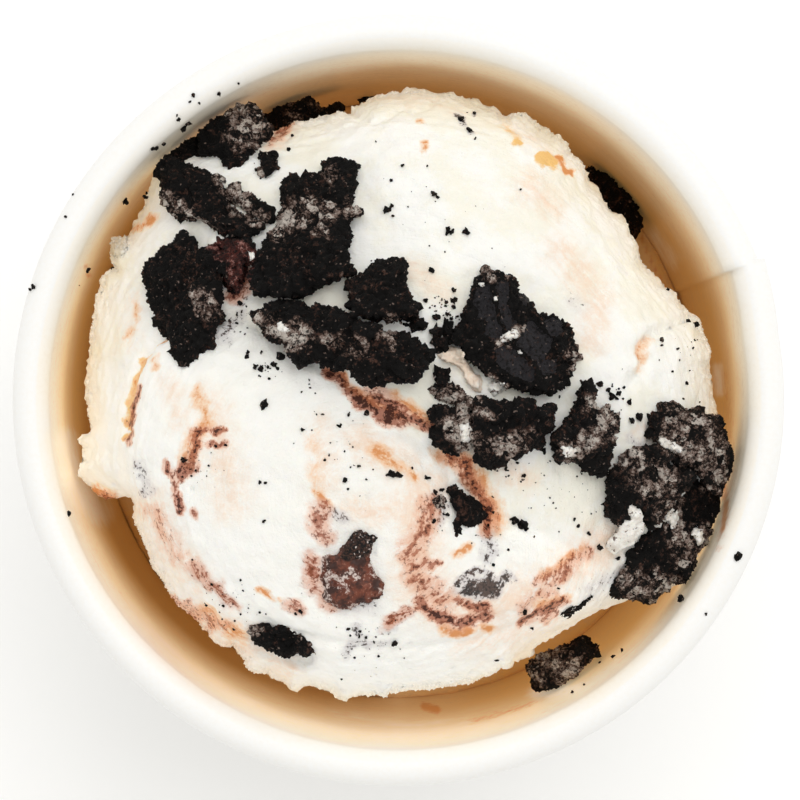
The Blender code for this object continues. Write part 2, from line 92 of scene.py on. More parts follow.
def add_light(name, place, size, power):
    """A square soft light that faces the food."""
    data = bpy.data.lights.new(name, "AREA")
    data.shape = "SQUARE"
    data.size = size
    data.energy = power
    light = add_to_scene(name, data)
    light.location = place
    light.rotation_euler = (Vector((0, 0, rim_level)) - Vector(place)).to_track_quat("-Z", "Y").to_euler()
    light.visible_camera = False


class Value:
    """What a node gives. Arithmetic on it adds Math nodes to its tree."""

    def __init__(self, nodes, socket):
        self.nodes = nodes
        self.socket = socket

    def math(self, operation, *others):
        """A Math node on this value and others."""
        return self.nodes.add("ShaderNodeMath", {"operation": operation}, dict(enumerate((self, *others))))

    def other(self, name):
        """Another output of the same node."""
        return Value(self.nodes, self.socket.node.outputs[name])

    def __add__(self, other):
        return self.math("ADD", other)

    def __sub__(self, other):
        return self.math("SUBTRACT", other)

    def __rsub__(self, other):
        return self * -1 + other

    def __mul__(self, other):
        return self.math("MULTIPLY", other)

    def __truediv__(self, other):
        return self.math("DIVIDE", other)

    __radd__ = __add__
    __rmul__ = __mul__


class Nodes:
    """A node tree that is built by calls."""

    def __init__(self, tree):
        self.tree = tree

    def feed(self, node, sockets):
        """Gives sockets of a node a value or a link each."""
        for name, value in sockets.items():
            if isinstance(value, Value):
                self.tree.links.new(value.socket, node.inputs[name])
            else:
                node.inputs[name].default_value = value

    def add(self, kind, settings=None, sockets=None, out=0):
        """Adds a node, its settings first, and gives its output out."""
        node = self.tree.nodes.new(kind)
        for name, value in (settings or {}).items():
            setattr(node, name, value)
        self.feed(node, sockets or {})
        return Value(self, node.outputs[out])

    def rise(self, value, low, high):
        """0 below low and 1 above high, smoothly between them."""
        return self.add("ShaderNodeMapRange", {"interpolation_type": "SMOOTHSTEP"},
                        {"Value": value, "From Min": low, "From Max": high})

    def tint(self, factor, colour, other):
        """colour where factor is 0, and other where it is 1."""
        return self.add("ShaderNodeMix", {"data_type": "RGBA"}, {0: factor, 6: colour, 7: other}, out=2)

    def laid(self, colour, other, value, low, high, share=1.0):
        """colour with other laid over it where value rises from low to high, up to a share."""
        cover = self.rise(value, low, high)
        return self.tint(cover if share == 1 else cover * share, colour, other)

    def noise(self, place, size, detail=2.0, roughness=0.5):
        """Smooth noise from 0 to 1 whose spots are about size across."""
        return self.add("ShaderNodeTexNoise", None, {
            "Vector": place, "Scale": 1 / size, "Detail": detail, "Roughness": roughness})

    def cells(self, place, size):
        """Cells of about a size: how far a place is from its cell's middle, with its cell's colour."""
        return self.add("ShaderNodeTexVoronoi", None, {"Vector": place, "Scale": 1 / size})

    def scaled(self, vector, factor):
        """A vector times a number."""
        return self.add("ShaderNodeVectorMath", {"operation": "SCALE"}, {0: vector, 3: factor})

    def shifted(self, vector, way):
        """A vector plus another."""
        return self.add("ShaderNodeVectorMath", {"operation": "ADD"}, {0: vector, 1: way})

    def warped(self, place, size):
        """A place moved about by noise of a size, so that what is drawn there has no even shapes."""
        return self.shifted(place, self.scaled(self.noise(place, size, 3.0).other("Color"), size))

    def axes(self, vector):
        """A vector's X, with its Y and Z as other outputs."""
        return self.add("ShaderNodeSeparateXYZ", None, {"Vector": vector})

    def relief(self, height, depth, strength=1.0):
        """A bump of a depth, for a shader's Normal."""
        return self.add("ShaderNodeBump", None, {"Strength": strength, "Distance": depth, "Height": height})

    def painted(self, name):
        """A number that the mesh holds for each point."""
        return self.add("ShaderNodeAttribute", {"attribute_name": name}, out="Fac")


def new_material(name, fixed):
    """A material with its fixed sockets set: its tree, its shader and the place of a point on the object."""
    material = bpy.data.materials.new(name)
    material.use_nodes = True
    nodes = Nodes(material.node_tree)
    shader = material.node_tree.nodes["Principled BSDF"]
    nodes.feed(shader, fixed)
    place = nodes.add("ShaderNodeTexCoord", out="Object")
    return material, nodes, shader, place


ROOM_WHITE = srgb(255, 254, 251)
FLOOR_WHITE = srgb(255, 255, 255)
FLOOR_GREY = srgb(253, 253, 252)
FLOOR_CLOUDS = 300 * MM

camera_data = bpy.data.cameras.new("camera")
camera_data.sensor_width = SENSOR_WIDTH
camera_data.lens = SENSOR_WIDTH * VIEW_HEIGHT / MM * PHOTO_SCALE / PHOTO_SIDE
camera = add_to_scene("camera", camera_data)
camera.location = eye
bpy.context.scene.camera = camera
bpy.context.scene.view_settings.view_transform = "Standard"

add_light("key", KEY_PLACE, KEY_SIZE, KEY_POWER)
world = bpy.data.worlds.new("room")
world.use_nodes = True
world.node_tree.nodes["Background"].inputs["Color"].default_value = ROOM_WHITE
world.node_tree.nodes["Background"].inputs["Strength"].default_value = ROOM_LIGHT
bpy.context.scene.world = world

bm = bmesh.new()
bmesh.ops.create_grid(bm, x_segments=1, y_segments=1, size=FLOOR_SIDE / 2)
bmesh.ops.translate(bm, verts=bm.verts, vec=(0, 0, -FLOOR_DEPTH))
floor_mesh = bpy.data.meshes.new("floor")
bm.to_mesh(floor_mesh)
bm.free()
floor = add_to_scene("floor", floor_mesh)
floor_material, nodes, shader, place = new_material("floor_board", {
    "Roughness": 0.7, "Specular IOR Level": 0.2})
nodes.feed(shader, {"Base Color": nodes.tint(nodes.noise(place, FLOOR_CLOUDS), FLOOR_WHITE, FLOOR_GREY)})
floor_mesh.materials.append(floor_material)

# ---------------------------------------------------------------- the paper tub
# One sheet of white food board, rolled outwards into the rim, lapped at a side seam and folded inwards round
# the foot. It is turned from its section. Its inside is soaked with melted cream and browner further down,
# partly as painted shade, and it carries a painted glow where it is wet.

TUB_COLUMNS = 288
RIM_RADIUS = 48 * MM
CURL_DIAMETER = 4.5 * MM
CURL_STEPS = 28
CURL_END = -122  # degrees, where the roll stops short of the wall
FOOT_RADIUS = 39 * MM
FOLD_HEIGHT = 5 * MM
FOLD_WIDTH = 2.35 * MM
PAPER = 0.5 * MM
WALL_STEPS = 40
SEAM_ANGLE = 21.5  # degrees
LAP_WIDTH = 11.3  # degrees over which the lap fades out
LAP_CLOSE = 0.35  # degrees that its step takes
LAP_STEP_FOOT = 0.3 * MM
LAP_STEP_RIM = 0.85 * MM
SHARPEST_MITRE = 0.5
FACING_IN = -0.3  # a point that faces outwards by less than this is on the board's wet inside
MERGE = 0.005 * MM
BASE_TOP = 6 * MM

PAPER_WHITE = srgb(244, 244, 243)
PAPER_CUT = srgb(240, 234, 222)
SOAKED_PALE = srgb(253, 242, 220)
SOAKED_AND_SHADED = srgb(250, 222, 176)
SOAKED_DEEP_AND_SHADED = srgb(230, 183, 109)
BLACK = srgb(0, 0, 0)
DRAWN_LINE = srgb(206, 176, 140)
WALL_STAIN = srgb(214, 128, 44)
PAINTED_GLOW = 0.44  # how strong the painted glow of the wet board is, at most

SOAK_AND_SHADE_FROM = 63 * MM  # the level where the cream's stain and the painted shade begin
SOAK_AND_SHADE_DEPTH = 40 * MM
SOAK_AND_SHADE_CURVE = 0.8
# Levels between which the painted glow fades out downwards, its least share, and the depth below the rim
# where it is full.
LIT_HIGH = 46 * MM
LIT_LOW = 26 * MM
LIT_LEAST = 0.05
LIT_FADE = 17 * MM  # below the rim, where the glow is full

# By heading in degrees: how wet the board is, with painted shade in it, how strong the painted glow is high
# up, and the share of that glow which is left low down.
WET_AND_SHADE_ROUND = ((0, 1.3), (30, 0.92), (90, 0.82), (120, 0.85), (150, 1.15), (180, 1.2), (210, 1.0), (240, 0.85),
             (270, 0.72), (330, 1.3), (360, 1.3))
LIT_ROUND = ((0, 0.4), (60, 0.34), (90, 0.27), (120, 0.27), (150, 0.44), (180, 0.8), (210, 0.8), (240, 1.0),
             (270, 1.1), (300, 0.9), (330, 0.6), (360, 0.4))
LEFT_ROUND = ((0, 0.6), (90, 0.6), (120, 0.3), (150, 0.0), (180, 0.15), (210, 0.03), (240, 0.2), (270, 0.55),
              (330, 0.6), (360, 0.6))

curl_radius = (CURL_DIAMETER - PAPER) / 2
curl_middle = RIM_RADIUS - CURL_DIAMETER / 2
curl_level = rim_level - CURL_DIAMETER / 2
wall_foot = FOOT_RADIUS - PAPER / 2
wall_slope = (curl_middle - curl_radius - wall_foot) / curl_level


def inner_radius(z):
    """Radius of the wall's inside at a height."""
    return wall_foot + wall_slope * z - PAPER / 2


def wall_section():
    """The paper's middle line, as (radius, height), from the end of the roll to the foot and up the fold."""
    turns = np.radians(np.linspace(CURL_END, 180, CURL_STEPS))
    curl = [(curl_middle + curl_radius * math.cos(a), curl_level + curl_radius * math.sin(a)) for a in turns]
    levels = np.linspace(curl_level, PAPER, WALL_STEPS)[1:]
    wall = [(wall_foot + wall_slope * z, z) for z in levels]
    fold = FOOT_RADIUS - FOLD_WIDTH + PAPER / 2
    foot = [(wall_foot - PAPER / 2, PAPER / 2), (fold + PAPER / 2, PAPER / 2), (fold, PAPER)]
    return curl + wall + foot + [(fold + wall_slope * FOLD_HEIGHT, FOLD_HEIGHT)]


def thick_section(line, thickness):
    """The closed outline of a sheet, from its middle line."""
    line = np.array(line)
    ahead = np.diff(line, axis=0)
    ahead /= np.linalg.norm(ahead, axis=1)[:, None]
    before, after = np.vstack((ahead[:1], ahead)), np.vstack((ahead, ahead[-1:]))
    way = before + after
    way /= np.linalg.norm(way, axis=1)[:, None]
    mitre = 1 / np.maximum(SHARPEST_MITRE, np.sum(way * after, axis=1))
    side = np.column_stack((-way[:, 1], way[:, 0])) * (mitre * thickness / 2)[:, None]
    return np.vstack((line + side, (line - side)[::-1], (line + side)[:1]))


def geometry_tree(name, inputs):
    """A Geometry Nodes tree with a geometry input and named ones: its Nodes and what each input gives."""
    tree = bpy.data.node_groups.new(name, "GeometryNodeTree")
    tree.interface.new_socket("Geometry", in_out="INPUT", socket_type="NodeSocketGeometry")
    tree.interface.new_socket("Geometry", in_out="OUTPUT", socket_type="NodeSocketGeometry")
    for label, kind in inputs.items():
        tree.interface.new_socket(label, in_out="INPUT", socket_type="NodeSocket" + kind)
    nodes = Nodes(tree)
    entry = tree.nodes.new("NodeGroupInput")
    given = {label: Value(nodes, entry.outputs[label]) for label in ("Geometry", *inputs)}
    return nodes, given


def end_tree(nodes, geometry, material):
    """Closes a tree: instances made real, the material set."""
    real = nodes.add("GeometryNodeRealizeInstances", None, {"Geometry": geometry})
    done = nodes.add("GeometryNodeSetMaterial", None, {"Geometry": real, "Material": material})
    end = nodes.tree.nodes.new("NodeGroupOutput")
    nodes.feed(end, {"Geometry": done})
    return nodes.tree


def made_of(carrier):
    """The plain mesh that an object's modifiers make. The object itself goes."""
    graph = bpy.context.evaluated_depsgraph_get()
    mesh = bpy.data.meshes.new_from_object(carrier.evaluated_get(graph))
    bpy.data.objects.remove(carrier)
    return mesh


def run_tree(name, mesh, tree, values):
    """The plain mesh that a tree makes of a mesh, as a new object."""
    carrier = add_to_scene(name, mesh)
    modifier = carrier.modifiers.new(name, "NODES")
    modifier.node_group = tree
    for item in tree.interface.items_tree:
        if item.in_out == "INPUT" and item.name in values:
            modifier[item.identifier] = values[item.name]
    return add_to_scene(name, made_of(carrier))


def turned_tree():
    """Turns a section, points at (radius, 0, height), about Z, with a lap at the seam."""
    nodes, given = geometry_tree("turned", {
        "Columns": "Int", "Rows": "Int", "Seam": "Float", "Lap": "Float", "Close": "Float",
        "Step Foot": "Float", "Step Rim": "Float", "Height": "Float", "Material": "Material"})
    columns, rows = given["Columns"], given["Rows"]
    grid = nodes.add("GeometryNodeMeshGrid", None, {
        "Size X": 1.0, "Size Y": 1.0, "Vertices X": columns + 1, "Vertices Y": rows})
    across = nodes.axes(nodes.add("GeometryNodeInputPosition"))
    row = ((across.other("Y") + 0.5) * (rows - 1)).math("ROUND")
    step = (across + 0.5) * columns
    closing = nodes.rise(step, columns - 1, columns)
    turn = (step / (columns - 1)).math("MINIMUM", 1.0)
    lap_end = math.tau - given["Close"]
    angle = turn * lap_end + closing * given["Close"]
    lap = nodes.add("ShaderNodeMapRange", None, {
        "Value": angle, "From Min": lap_end - given["Lap"], "From Max": lap_end})
    section = nodes.axes(nodes.add("GeometryNodeSampleIndex", {"data_type": "FLOAT_VECTOR"}, {
        "Geometry": given["Geometry"], "Value": nodes.add("GeometryNodeInputPosition"), "Index": row}))
    height = section.other("Z")
    share = height / given["Height"]
    lap_step = given["Step Foot"] + share * (given["Step Rim"] - given["Step Foot"])
    radius = section + lap * (1 - closing) * lap_step
    heading = angle + given["Seam"]
    spot = nodes.add("ShaderNodeCombineXYZ", None, {
        "X": radius * heading.math("COSINE"), "Y": radius * heading.math("SINE"), "Z": height})
    placed = nodes.add("GeometryNodeSetPosition", None, {"Geometry": grid, "Position": spot})
    closed = nodes.add("GeometryNodeMergeByDistance", None, {"Geometry": placed, "Distance": MERGE})
    return end_tree(nodes, closed, given["Material"])


def line_mesh(name, section):
    """A section's points at (radius, 0, height), joined by edges."""
    mesh = bpy.data.meshes.new(name)
    mesh.from_pydata([(r, 0, z) for r, z in section], [(i, i + 1) for i in range(len(section) - 1)], [])
    return mesh


def face_outwards(mesh):
    """Merges double points and turns every face outwards."""
    bm = bmesh.new()
    bm.from_mesh(mesh)
    bmesh.ops.remove_doubles(bm, verts=bm.verts, dist=MERGE)
    bmesh.ops.recalc_face_normals(bm, faces=bm.faces)
    bm.to_mesh(mesh)
    bm.free()


def points_of(mesh):
    """A mesh's points, one row each."""
    points = np.empty(len(mesh.vertices) * 3, np.float32)
    mesh.vertices.foreach_get("co", points)
    return points.reshape(-1, 3).astype(float)


def normals_of(mesh):
    """The way that each of a mesh's points faces, one row each."""
    normals = np.empty(len(mesh.vertices) * 3, np.float32)
    mesh.vertex_normals.foreach_get("vector", normals)
    return normals.reshape(-1, 3).astype(float)


def paint(mesh, name, values):
    """Stores a number for each point of a mesh."""
    attribute = mesh.attributes.get(name) or mesh.attributes.new(name, "FLOAT", "POINT")
    attribute.data.foreach_set("value", np.asarray(values, np.float32))


def paper_material():
    """White board, soaked and stained where the mesh says so; where wet, painted shade and a painted glow."""
    material, nodes, shader, place = new_material("food_board", {
        "Specular IOR Level": 0.3, "Coat Roughness": 0.25, "Coat Weight": 0.1,
        "Emission Strength": PAINTED_GLOW})
    fibre = nodes.noise(place, 0.6 * MM, 4.0, 0.65)
    blotch = nodes.noise(place, 9 * MM, 3.0)
    white = nodes.tint(nodes.rise(fibre, 0.3, 0.75) * 0.25, PAPER_WHITE, PAPER_CUT)
    relief = nodes.relief(fibre, 0.05 * MM, 0.12)
    soaked_and_shaded = nodes.painted("soaked_and_shaded")
    soak_and_shade = soaked_and_shaded + 0.2 * (blotch - 0.5) * nodes.rise(soaked_and_shaded, 0.0, 0.2)
    spot = nodes.axes(place)
    heading = spot.other("Y").math("ARCTAN2", spot)
    round_wall = nodes.add("ShaderNodeCombineXYZ", None, {"X": heading * (6 * MM), "Z": spot.other("Z")})
    drawn = nodes.rise(nodes.noise(round_wall, 0.9 * MM, 4.0, 0.7), 0.5, 0.68)
    # Painted shade: the colour browns as the wet value, which grows downwards, rises.
    colour = nodes.tint(nodes.rise(soak_and_shade, 0.02, 0.35), white, SOAKED_PALE)
    colour = nodes.laid(colour, SOAKED_AND_SHADED, soak_and_shade, 0.3, 0.65)
    colour = nodes.laid(colour, SOAKED_DEEP_AND_SHADED, soak_and_shade, 0.55, 0.95)
    colour = nodes.tint(drawn * nodes.rise(soak_and_shade, 0.15, 0.45) * 0.3, colour, DRAWN_LINE)
    stained = nodes.painted("stained") + 0.8 * (nodes.noise(place, 1.2 * MM, 4.0, 0.7) - 0.5)
    colour = nodes.laid(colour, WALL_STAIN, stained, 0.25, 0.7, 0.8)
    film = nodes.rise(nodes.painted("filmed") + 0.8 * (nodes.noise(place, 3 * MM, 4.0, 0.6) - 0.5), 0.2, 0.9)
    colour = nodes.tint(film * 0.7, colour, SOAKED_PALE)
    colour = nodes.tint(nodes.rise(soak_and_shade, 0.1, 0.4) * nodes.rise(fibre, 0.45, 0.7) * 0.25, colour, DRAWN_LINE)
    # Painted glow: the wet board gives off its own colour as light where the mesh says it is lit.
    lit = nodes.painted("lit")
    glow = nodes.tint(lit + 0.2 * film * lit, BLACK, colour)
    nodes.feed(shader, {"Base Color": colour, "Roughness": 0.48 - 0.12 * nodes.rise(soak_and_shade, 0.1, 0.5),
                        "Emission Color": glow, "Normal": relief})
    return material


paper = paper_material()
turned = turned_tree()
section = thick_section(wall_section(), PAPER)
tub = run_tree("tub", line_mesh("wall_section", section), turned, {
    "Columns": TUB_COLUMNS, "Rows": len(section), "Seam": math.radians(SEAM_ANGLE),
    "Lap": math.radians(LAP_WIDTH), "Close": math.radians(LAP_CLOSE), "Step Foot": LAP_STEP_FOOT,
    "Step Rim": LAP_STEP_RIM, "Height": rim_level, "Material": paper})
face_outwards(tub.data)
tub.data.shade_smooth()

# Each streak or smear: its width in millimetres, its strength, and then its path in pixels.
WALL_STAINS = {
    "right": (0.6, 0.9, (724, 488), (726, 506), (723, 528)),
    "strip": (0.8, 0.6, (640, 236), (652, 262), (664, 288)),
    "foot": (1.0, 0.9, (424, 706), (438, 710)),
    "left": (0.8, 0.8, (85, 268), (89, 274)),
    "low": (1.1, 0.5, (470, 722), (520, 708), (560, 690)),
    "right_low": (1.7, 0.4, (724, 372), (729, 420), (732, 460), (728, 505), (718, 548)),
}
WALL_FILMS = {
    "left": (3.2, 1.0, (62, 440), (72, 482), (100, 512)),
    "right": (1.3, 0.9, (718, 368), (720, 392)),
    "low": (2.0, 0.9, (536, 692), (580, 690)),
    "strip": (2.6, 0.6, (655, 236), (672, 262)),
    "foot": (1.6, 0.5, (330, 712), (400, 726), (470, 722)),
}


def pixels_per_metre(levels):
    """How many of the photo's pixels a metre takes at each level."""
    return PHOTO_SCALE / MM * VIEW_HEIGHT / (eye.z - levels)


def photo_places(points):
    """Where the photo's camera sees points, in its pixels."""
    scale = pixels_per_metre(points[:, 2])
    return np.column_stack((PHOTO_SIDE / 2 + (points[:, 0] - eye.x) * scale,
                            PHOTO_SIDE / 2 - (points[:, 1] - eye.y) * scale))


def distance_to(places, path):
    """How far places in the photo are from a path there, in millimetres at the rim's level."""
    path = np.array(path, float)
    nearest = np.full(len(places), np.inf)
    for start, end in zip(path[:-1], path[1:]):
        run = end - start
        share = np.clip((places - start) @ run / (run @ run), 0, 1)
        nearest = np.minimum(nearest, np.linalg.norm(places - start - share[:, None] * run, axis=1))
    return nearest / PHOTO_SCALE


def streaked(places, streaks):
    """The strongest of the streaks at each place: full along a path and fading to its width."""
    most = np.zeros(len(places))
    for width, strength, *path in streaks.values():
        fade = 1 - distance_to(places, path) / width
        most = np.maximum(most, strength * np.clip(fade, 0, 1))
    return most


def paint_wet_shade_and_glow(mesh, points, inside):
    """Stores how wet with painted shade, how strongly lit by painted glow and how stained each point inside
    the tub is.
    """
    heading = np.degrees(np.arctan2(points[:, 1], points[:, 0])) % 360
    # Painted shade: the wet value grows downwards and by heading, which browns the board's colour.
    depth = np.clip((SOAK_AND_SHADE_FROM - points[:, 2]) / SOAK_AND_SHADE_DEPTH, 0, 1)
    tables = WET_AND_SHADE_ROUND, LIT_ROUND, LEFT_ROUND
    wet_and_shade, lit, left = (np.interp(heading, *np.transpose(table)) for table in tables)
    paint(mesh, "soaked_and_shaded", inside * np.clip(depth ** SOAK_AND_SHADE_CURVE * wet_and_shade, 0, 1))
    share = np.clip(left + (1 - left) * (points[:, 2] - LIT_LOW) / (LIT_HIGH - LIT_LOW), LIT_LEAST, 1)
    share *= np.clip((rim_level - points[:, 2]) / LIT_FADE, 0, 1) * lit
    paint(mesh, "lit", inside * share)
    places = photo_places(points)
    paint(mesh, "stained", inside * streaked(places, WALL_STAINS))
    paint(mesh, "filmed", inside * streaked(places, WALL_FILMS))


wall_points, wall_normals = points_of(tub.data), normals_of(tub.data)
wall_radius = np.linalg.norm(wall_points[:, :2], axis=1)
faces_out = np.sum(wall_points[:, :2] / wall_radius[:, None] * wall_normals[:, :2], axis=1)
paint_wet_shade_and_glow(tub.data, wall_points, (faces_out < FACING_IN) & (wall_radius < curl_middle))
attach(tub, "root")
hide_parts("tub_wall")

tub_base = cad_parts["tub_base"]
tub_base.data.materials.clear()
tub_base.data.materials.append(paper)
base_points = points_of(tub_base.data)
# The base's inside gets the same wet colour, painted shade and painted glow as the wall.
paint_wet_shade_and_glow(tub_base.data, base_points, base_points[:, 2] > BASE_TOP - PAPER)

# ---------------------------------------------------------------- the ice cream
# Two scoops of vanilla ice cream, the second pressed onto the first, so that they run into each other at the
# right. The scoop's edge left long drag marks and a torn lip; chocolate and caramel run through both.

ICE_CREAM_CELL = 0.48 * MM
HIDDEN_BELOW = 44 * MM  # from here down the surface is coarser, because the tub hides it
HIDDEN_SQUASH = 0.16  # share of its height that the hidden part keeps while it is cut into cells
SUNK = 1.6 * MM  # how far a piece that fills its own hollow is lowered
PRESSED = 0.35 * MM  # how far the scoops are swollen into each other
OUTLINE_STEPS = 1440
WALL_CLEARANCE = 0.8 * MM
CREAM_CLEARANCE = 0.35 * MM
KEPT_SHARE = 0.5  # share of the faces that is left once the hidden ones are thinned
STRETCH_LEAST = 0.55  # the limits within which a form is stretched sideways to meet its outline
STRETCH_MOST = 1.7
FULLER = 0.055  # how much fuller than the clay the scoops are near their edge
EDGE_SHARE = 0.98  # share of the way out, from which a cell belongs to the edge
EDGE_WINDOW = 2.0  # degrees
EDGE_LOWEST = 45 * MM
EDGE_FACING = -0.15  # how far down a cell of the edge may face
EDGE_REACH = 1.5  # millimetres
MELT_REACH = 8  # millimetres
FRONT_FADE = 12  # pixels
SHOWN_FROM = 40 * MM  # the level where the tub stops hiding the cream
SHOWN_FADE = 5 * MM
TORN_LEVEL = 46 * MM  # the level of the torn lip
TORN_FADE = 7 * MM
CREASE_DEPTH = 0.8 * MM
WAVE_SIZE = 7 * MM
LUMP_SIZE = 2.4 * MM
TEAR_SIZE = 1.4 * MM
FRINGE_SIZE = 0.8 * MM
PIT_SIZE = 0.8 * MM
DRAG_SIZE = 0.9 * MM
DRAG_ROUND = 2 * MM
DRAG_SLANT = 0.6  # how much the marks slant with the height
CREAM_GLOW = 0.15  # strength of the painted glow on the cream where it slopes
WANDER_SEED = 5  # without it the smears would lie differently on each run
WELD = 0.02 * MM
TINY = 1e-9
NEARLY = 1e-6

CREAM = srgb(250, 249, 244)
CREAM_WARM = srgb(244, 239, 221)
CREAM_SHADED = srgb(252, 240, 216)
HAZE = srgb(242, 212, 186)
CARAMEL = srgb(218, 138, 70)
CARAMEL_PALE = srgb(242, 196, 152)
TOFFEE = srgb(240, 188, 92)
DUST = srgb(34, 25, 23)
DUST_BROWN = srgb(84, 66, 58)
DUST_PALE = srgb(196, 190, 194)
CHOCOLATE = srgb(156, 76, 42)
CHOCOLATE_PALE = srgb(227, 165, 131)
CHOCOLATE_DEEP = srgb(106, 46, 24)
CHOCOLATE_DARK = srgb(60, 28, 20)

# The crease where the scoops meet, from the left rim of the front scoop to where they run together.
CREASE = ((142, 352), (165, 332), (205, 322), (245, 316), (290, 345), (330, 373), (365, 396), (400, 424),
          (440, 454), (454, 478), (470, 505), (490, 525))
RUN_TOGETHER = ((540, 500), (560, 530), (575, 560), (585, 590))
CREASES = {
    "between": (0.8, 1.0, *CREASE),
    "left": (0.45, 0.7, (167, 333), (152, 345), (143, 358), (130, 385), (125, 405), (124, 430)),
    "right_lobe": (0.6, 1.3, (690, 318), (652, 334), (640, 350), (646, 362), (636, 380)),
    "top_fold": (
        0.5, 0.9, (345, 108), (352, 113), (370, 121), (384, 119), (397, 109), (415, 108), (430, 104)),
    "top_right_fold": (0.5, 0.6, (505, 112), (512, 124), (530, 132), (552, 138)),
    "under_front_cookie": (1.6, 1.2, (266, 634), (290, 640), (306, 646)),
    "front_arc": (0.6, 0.5, (190, 585), (240, 612), (300, 640), (380, 652), (460, 645), (530, 622)),
}

# The edge of the ice cream from above, clockwise from the far left, with its torn tabs.
ICE_CREAM_EDGE = (
    (262, 127), (270, 134), (280, 128), (290, 126), (300, 122), (315, 119), (330, 115), (345, 111),
    (352, 106), (365, 102), (375, 96), (385, 92), (392, 90), (401, 92), (415, 89), (427, 91), (437, 93),
    (450, 92), (460, 96), (478, 99), (482, 105), (489, 108), (495, 104), (499, 112), (506, 114), (518, 112),
    (528, 114), (535, 121), (545, 128), (558, 134), (567, 144), (571, 153), (581, 158), (588, 170),
    (592, 180), (600, 188), (605, 198), (612, 209), (621, 215), (628, 223), (632, 235), (639, 245),
    (642, 256), (648, 268), (659, 276), (668, 288), (679, 292), (683, 303), (690, 312), (700, 316),
    (702, 330), (707, 342), (711, 352), (709, 365), (711, 380), (713, 395), (716, 412), (720, 440),
    (722, 470), (720, 500), (712, 540), (690, 575), (665, 592), (645, 602), (631, 605), (625, 612),
    (617, 616), (610, 617), (606, 623), (599, 624), (592, 628), (584, 635), (570, 640), (545, 652),
    (515, 664), (513, 668), (509, 673), (503, 669), (490, 675), (470, 681), (455, 683), (425, 687),
    (405, 689), (388, 690), (385, 695), (374, 692), (360, 694), (352, 697), (345, 700), (337, 695),
    (331, 690), (316, 688), (309, 685), (300, 688), (293, 690), (285, 682), (276, 677), (268, 671),
    (255, 672), (248, 669), (246, 661), (240, 652), (233, 645), (222, 646), (214, 641), (208, 632),
    (200, 622), (191, 612), (178, 602), (170, 590), (163, 578), (155, 568), (146, 545), (140, 530),
    (135, 515), (128, 500), (115, 496), (101, 499), (95, 492), (84, 481), (78, 475), (80, 468), (87, 463),
    (84, 455), (86, 447), (77, 440), (88, 436), (91, 430), (87, 415), (86, 400), (85, 385), (86, 370),
    (89, 340), (91, 325), (95, 310), (98, 298), (101, 289), (102, 280), (106, 275), (114, 272), (117, 268),
    (111, 262), (115, 256), (111, 250), (118, 243), (128, 237), (130, 228), (136, 218), (142, 210),
    (146, 200), (149, 190), (150, 182), (156, 168), (175, 148), (205, 138), (235, 128))

CHOCOLATE_STREAKS = {
    "crease_edge": (1.1, 1.0, (328, 372), (351, 390), (371, 410), (392, 421)),
    "crease_trough": (1.9, 1.0, (372, 392), (390, 405), (404, 421)),
    "crease_low": (1.4, 0.95, (385, 414), (410, 421), (436, 430)),
    "crease_down": (1.6, 0.8, (448, 455), (462, 462), (471, 480), (482, 504), (489, 524)),
    "left_edge": (0.75, 0.85, (139, 386), (132, 403), (127, 424), (128, 444)),
    "swirl_top": (0.6, 0.75, (190, 431), (206, 428), (225, 430)),
    "swirl_middle": (0.6, 0.9, (207, 443), (217, 446), (226, 444)),
    "swirl_down": (1.0, 0.75, (195, 434), (194, 448), (188, 462), (176, 474)),
    "swirl_foot": (1.1, 0.7, (196, 464), (184, 471), (176, 478)),
    "swirl_line": (0.64, 0.95, (166, 464), (171, 481), (178, 503), (181, 513)),
    "swirl_spot": (0.85, 0.75, (194, 507), (196, 512)),
    "flank": (1.9, 0.36, (153, 512), (165, 532), (177, 555)),
    "by_brownie": (1.9, 0.55, (312, 560), (310, 575), (316, 590), (330, 604)),
    "above_brownie": (1.9, 0.62, (320, 508), (318, 525), (326, 538)),
    "pink_mass": (2.2, 0.6, (430, 505), (424, 530), (412, 552)),
    "pink_side": (1.6, 0.42, (400, 545), (412, 572), (430, 590), (446, 606)),
    "dash": (0.77, 0.9, (412, 567), (424, 563), (437, 561)),
    "freckles": (2.5, 0.52, (414, 578), (428, 586), (444, 600)),
    "curved": (1.3, 1.0, (420, 599), (427, 611), (444, 621), (466, 622), (486, 613)),
    "curved_upper": (0.77, 0.8, (455, 601), (472, 606), (490, 607)),
    "front_smear": (1.2, 0.75, (386, 626), (396, 618), (407, 611)),
    "right_upper": (1.4, 0.6, (542, 586), (556, 575), (570, 566), (583, 553)),
    "right_middle": (1.3, 0.62, (558, 586), (568, 578), (576, 568)),
    "right_low": (0.94, 0.9, (524, 621), (543, 617), (557, 611), (568, 606)),
    "right_mauve": (1.4, 0.45, (520, 610), (540, 602), (560, 594)),
    "drag_speckles": (1.4, 0.5, (190, 566), (206, 578), (222, 596), (234, 608)),
    "drag_low": (1.0, 0.45, (172, 600), (196, 616), (214, 628)),
    "skirt": (1, 0.5, (186, 604), (204, 618), (226, 628)),
    "small_spots": (1.3, 0.55, (288, 604), (301, 613)),
    "top_left_edge": (0.94, 0.6, (272, 141), (281, 132), (292, 126)),
    "beside_fudge": (1.4, 0.75, (232, 296), (240, 288), (250, 276)),
    "tab": (1.1, 0.85, (104, 497), (118, 507)),
}
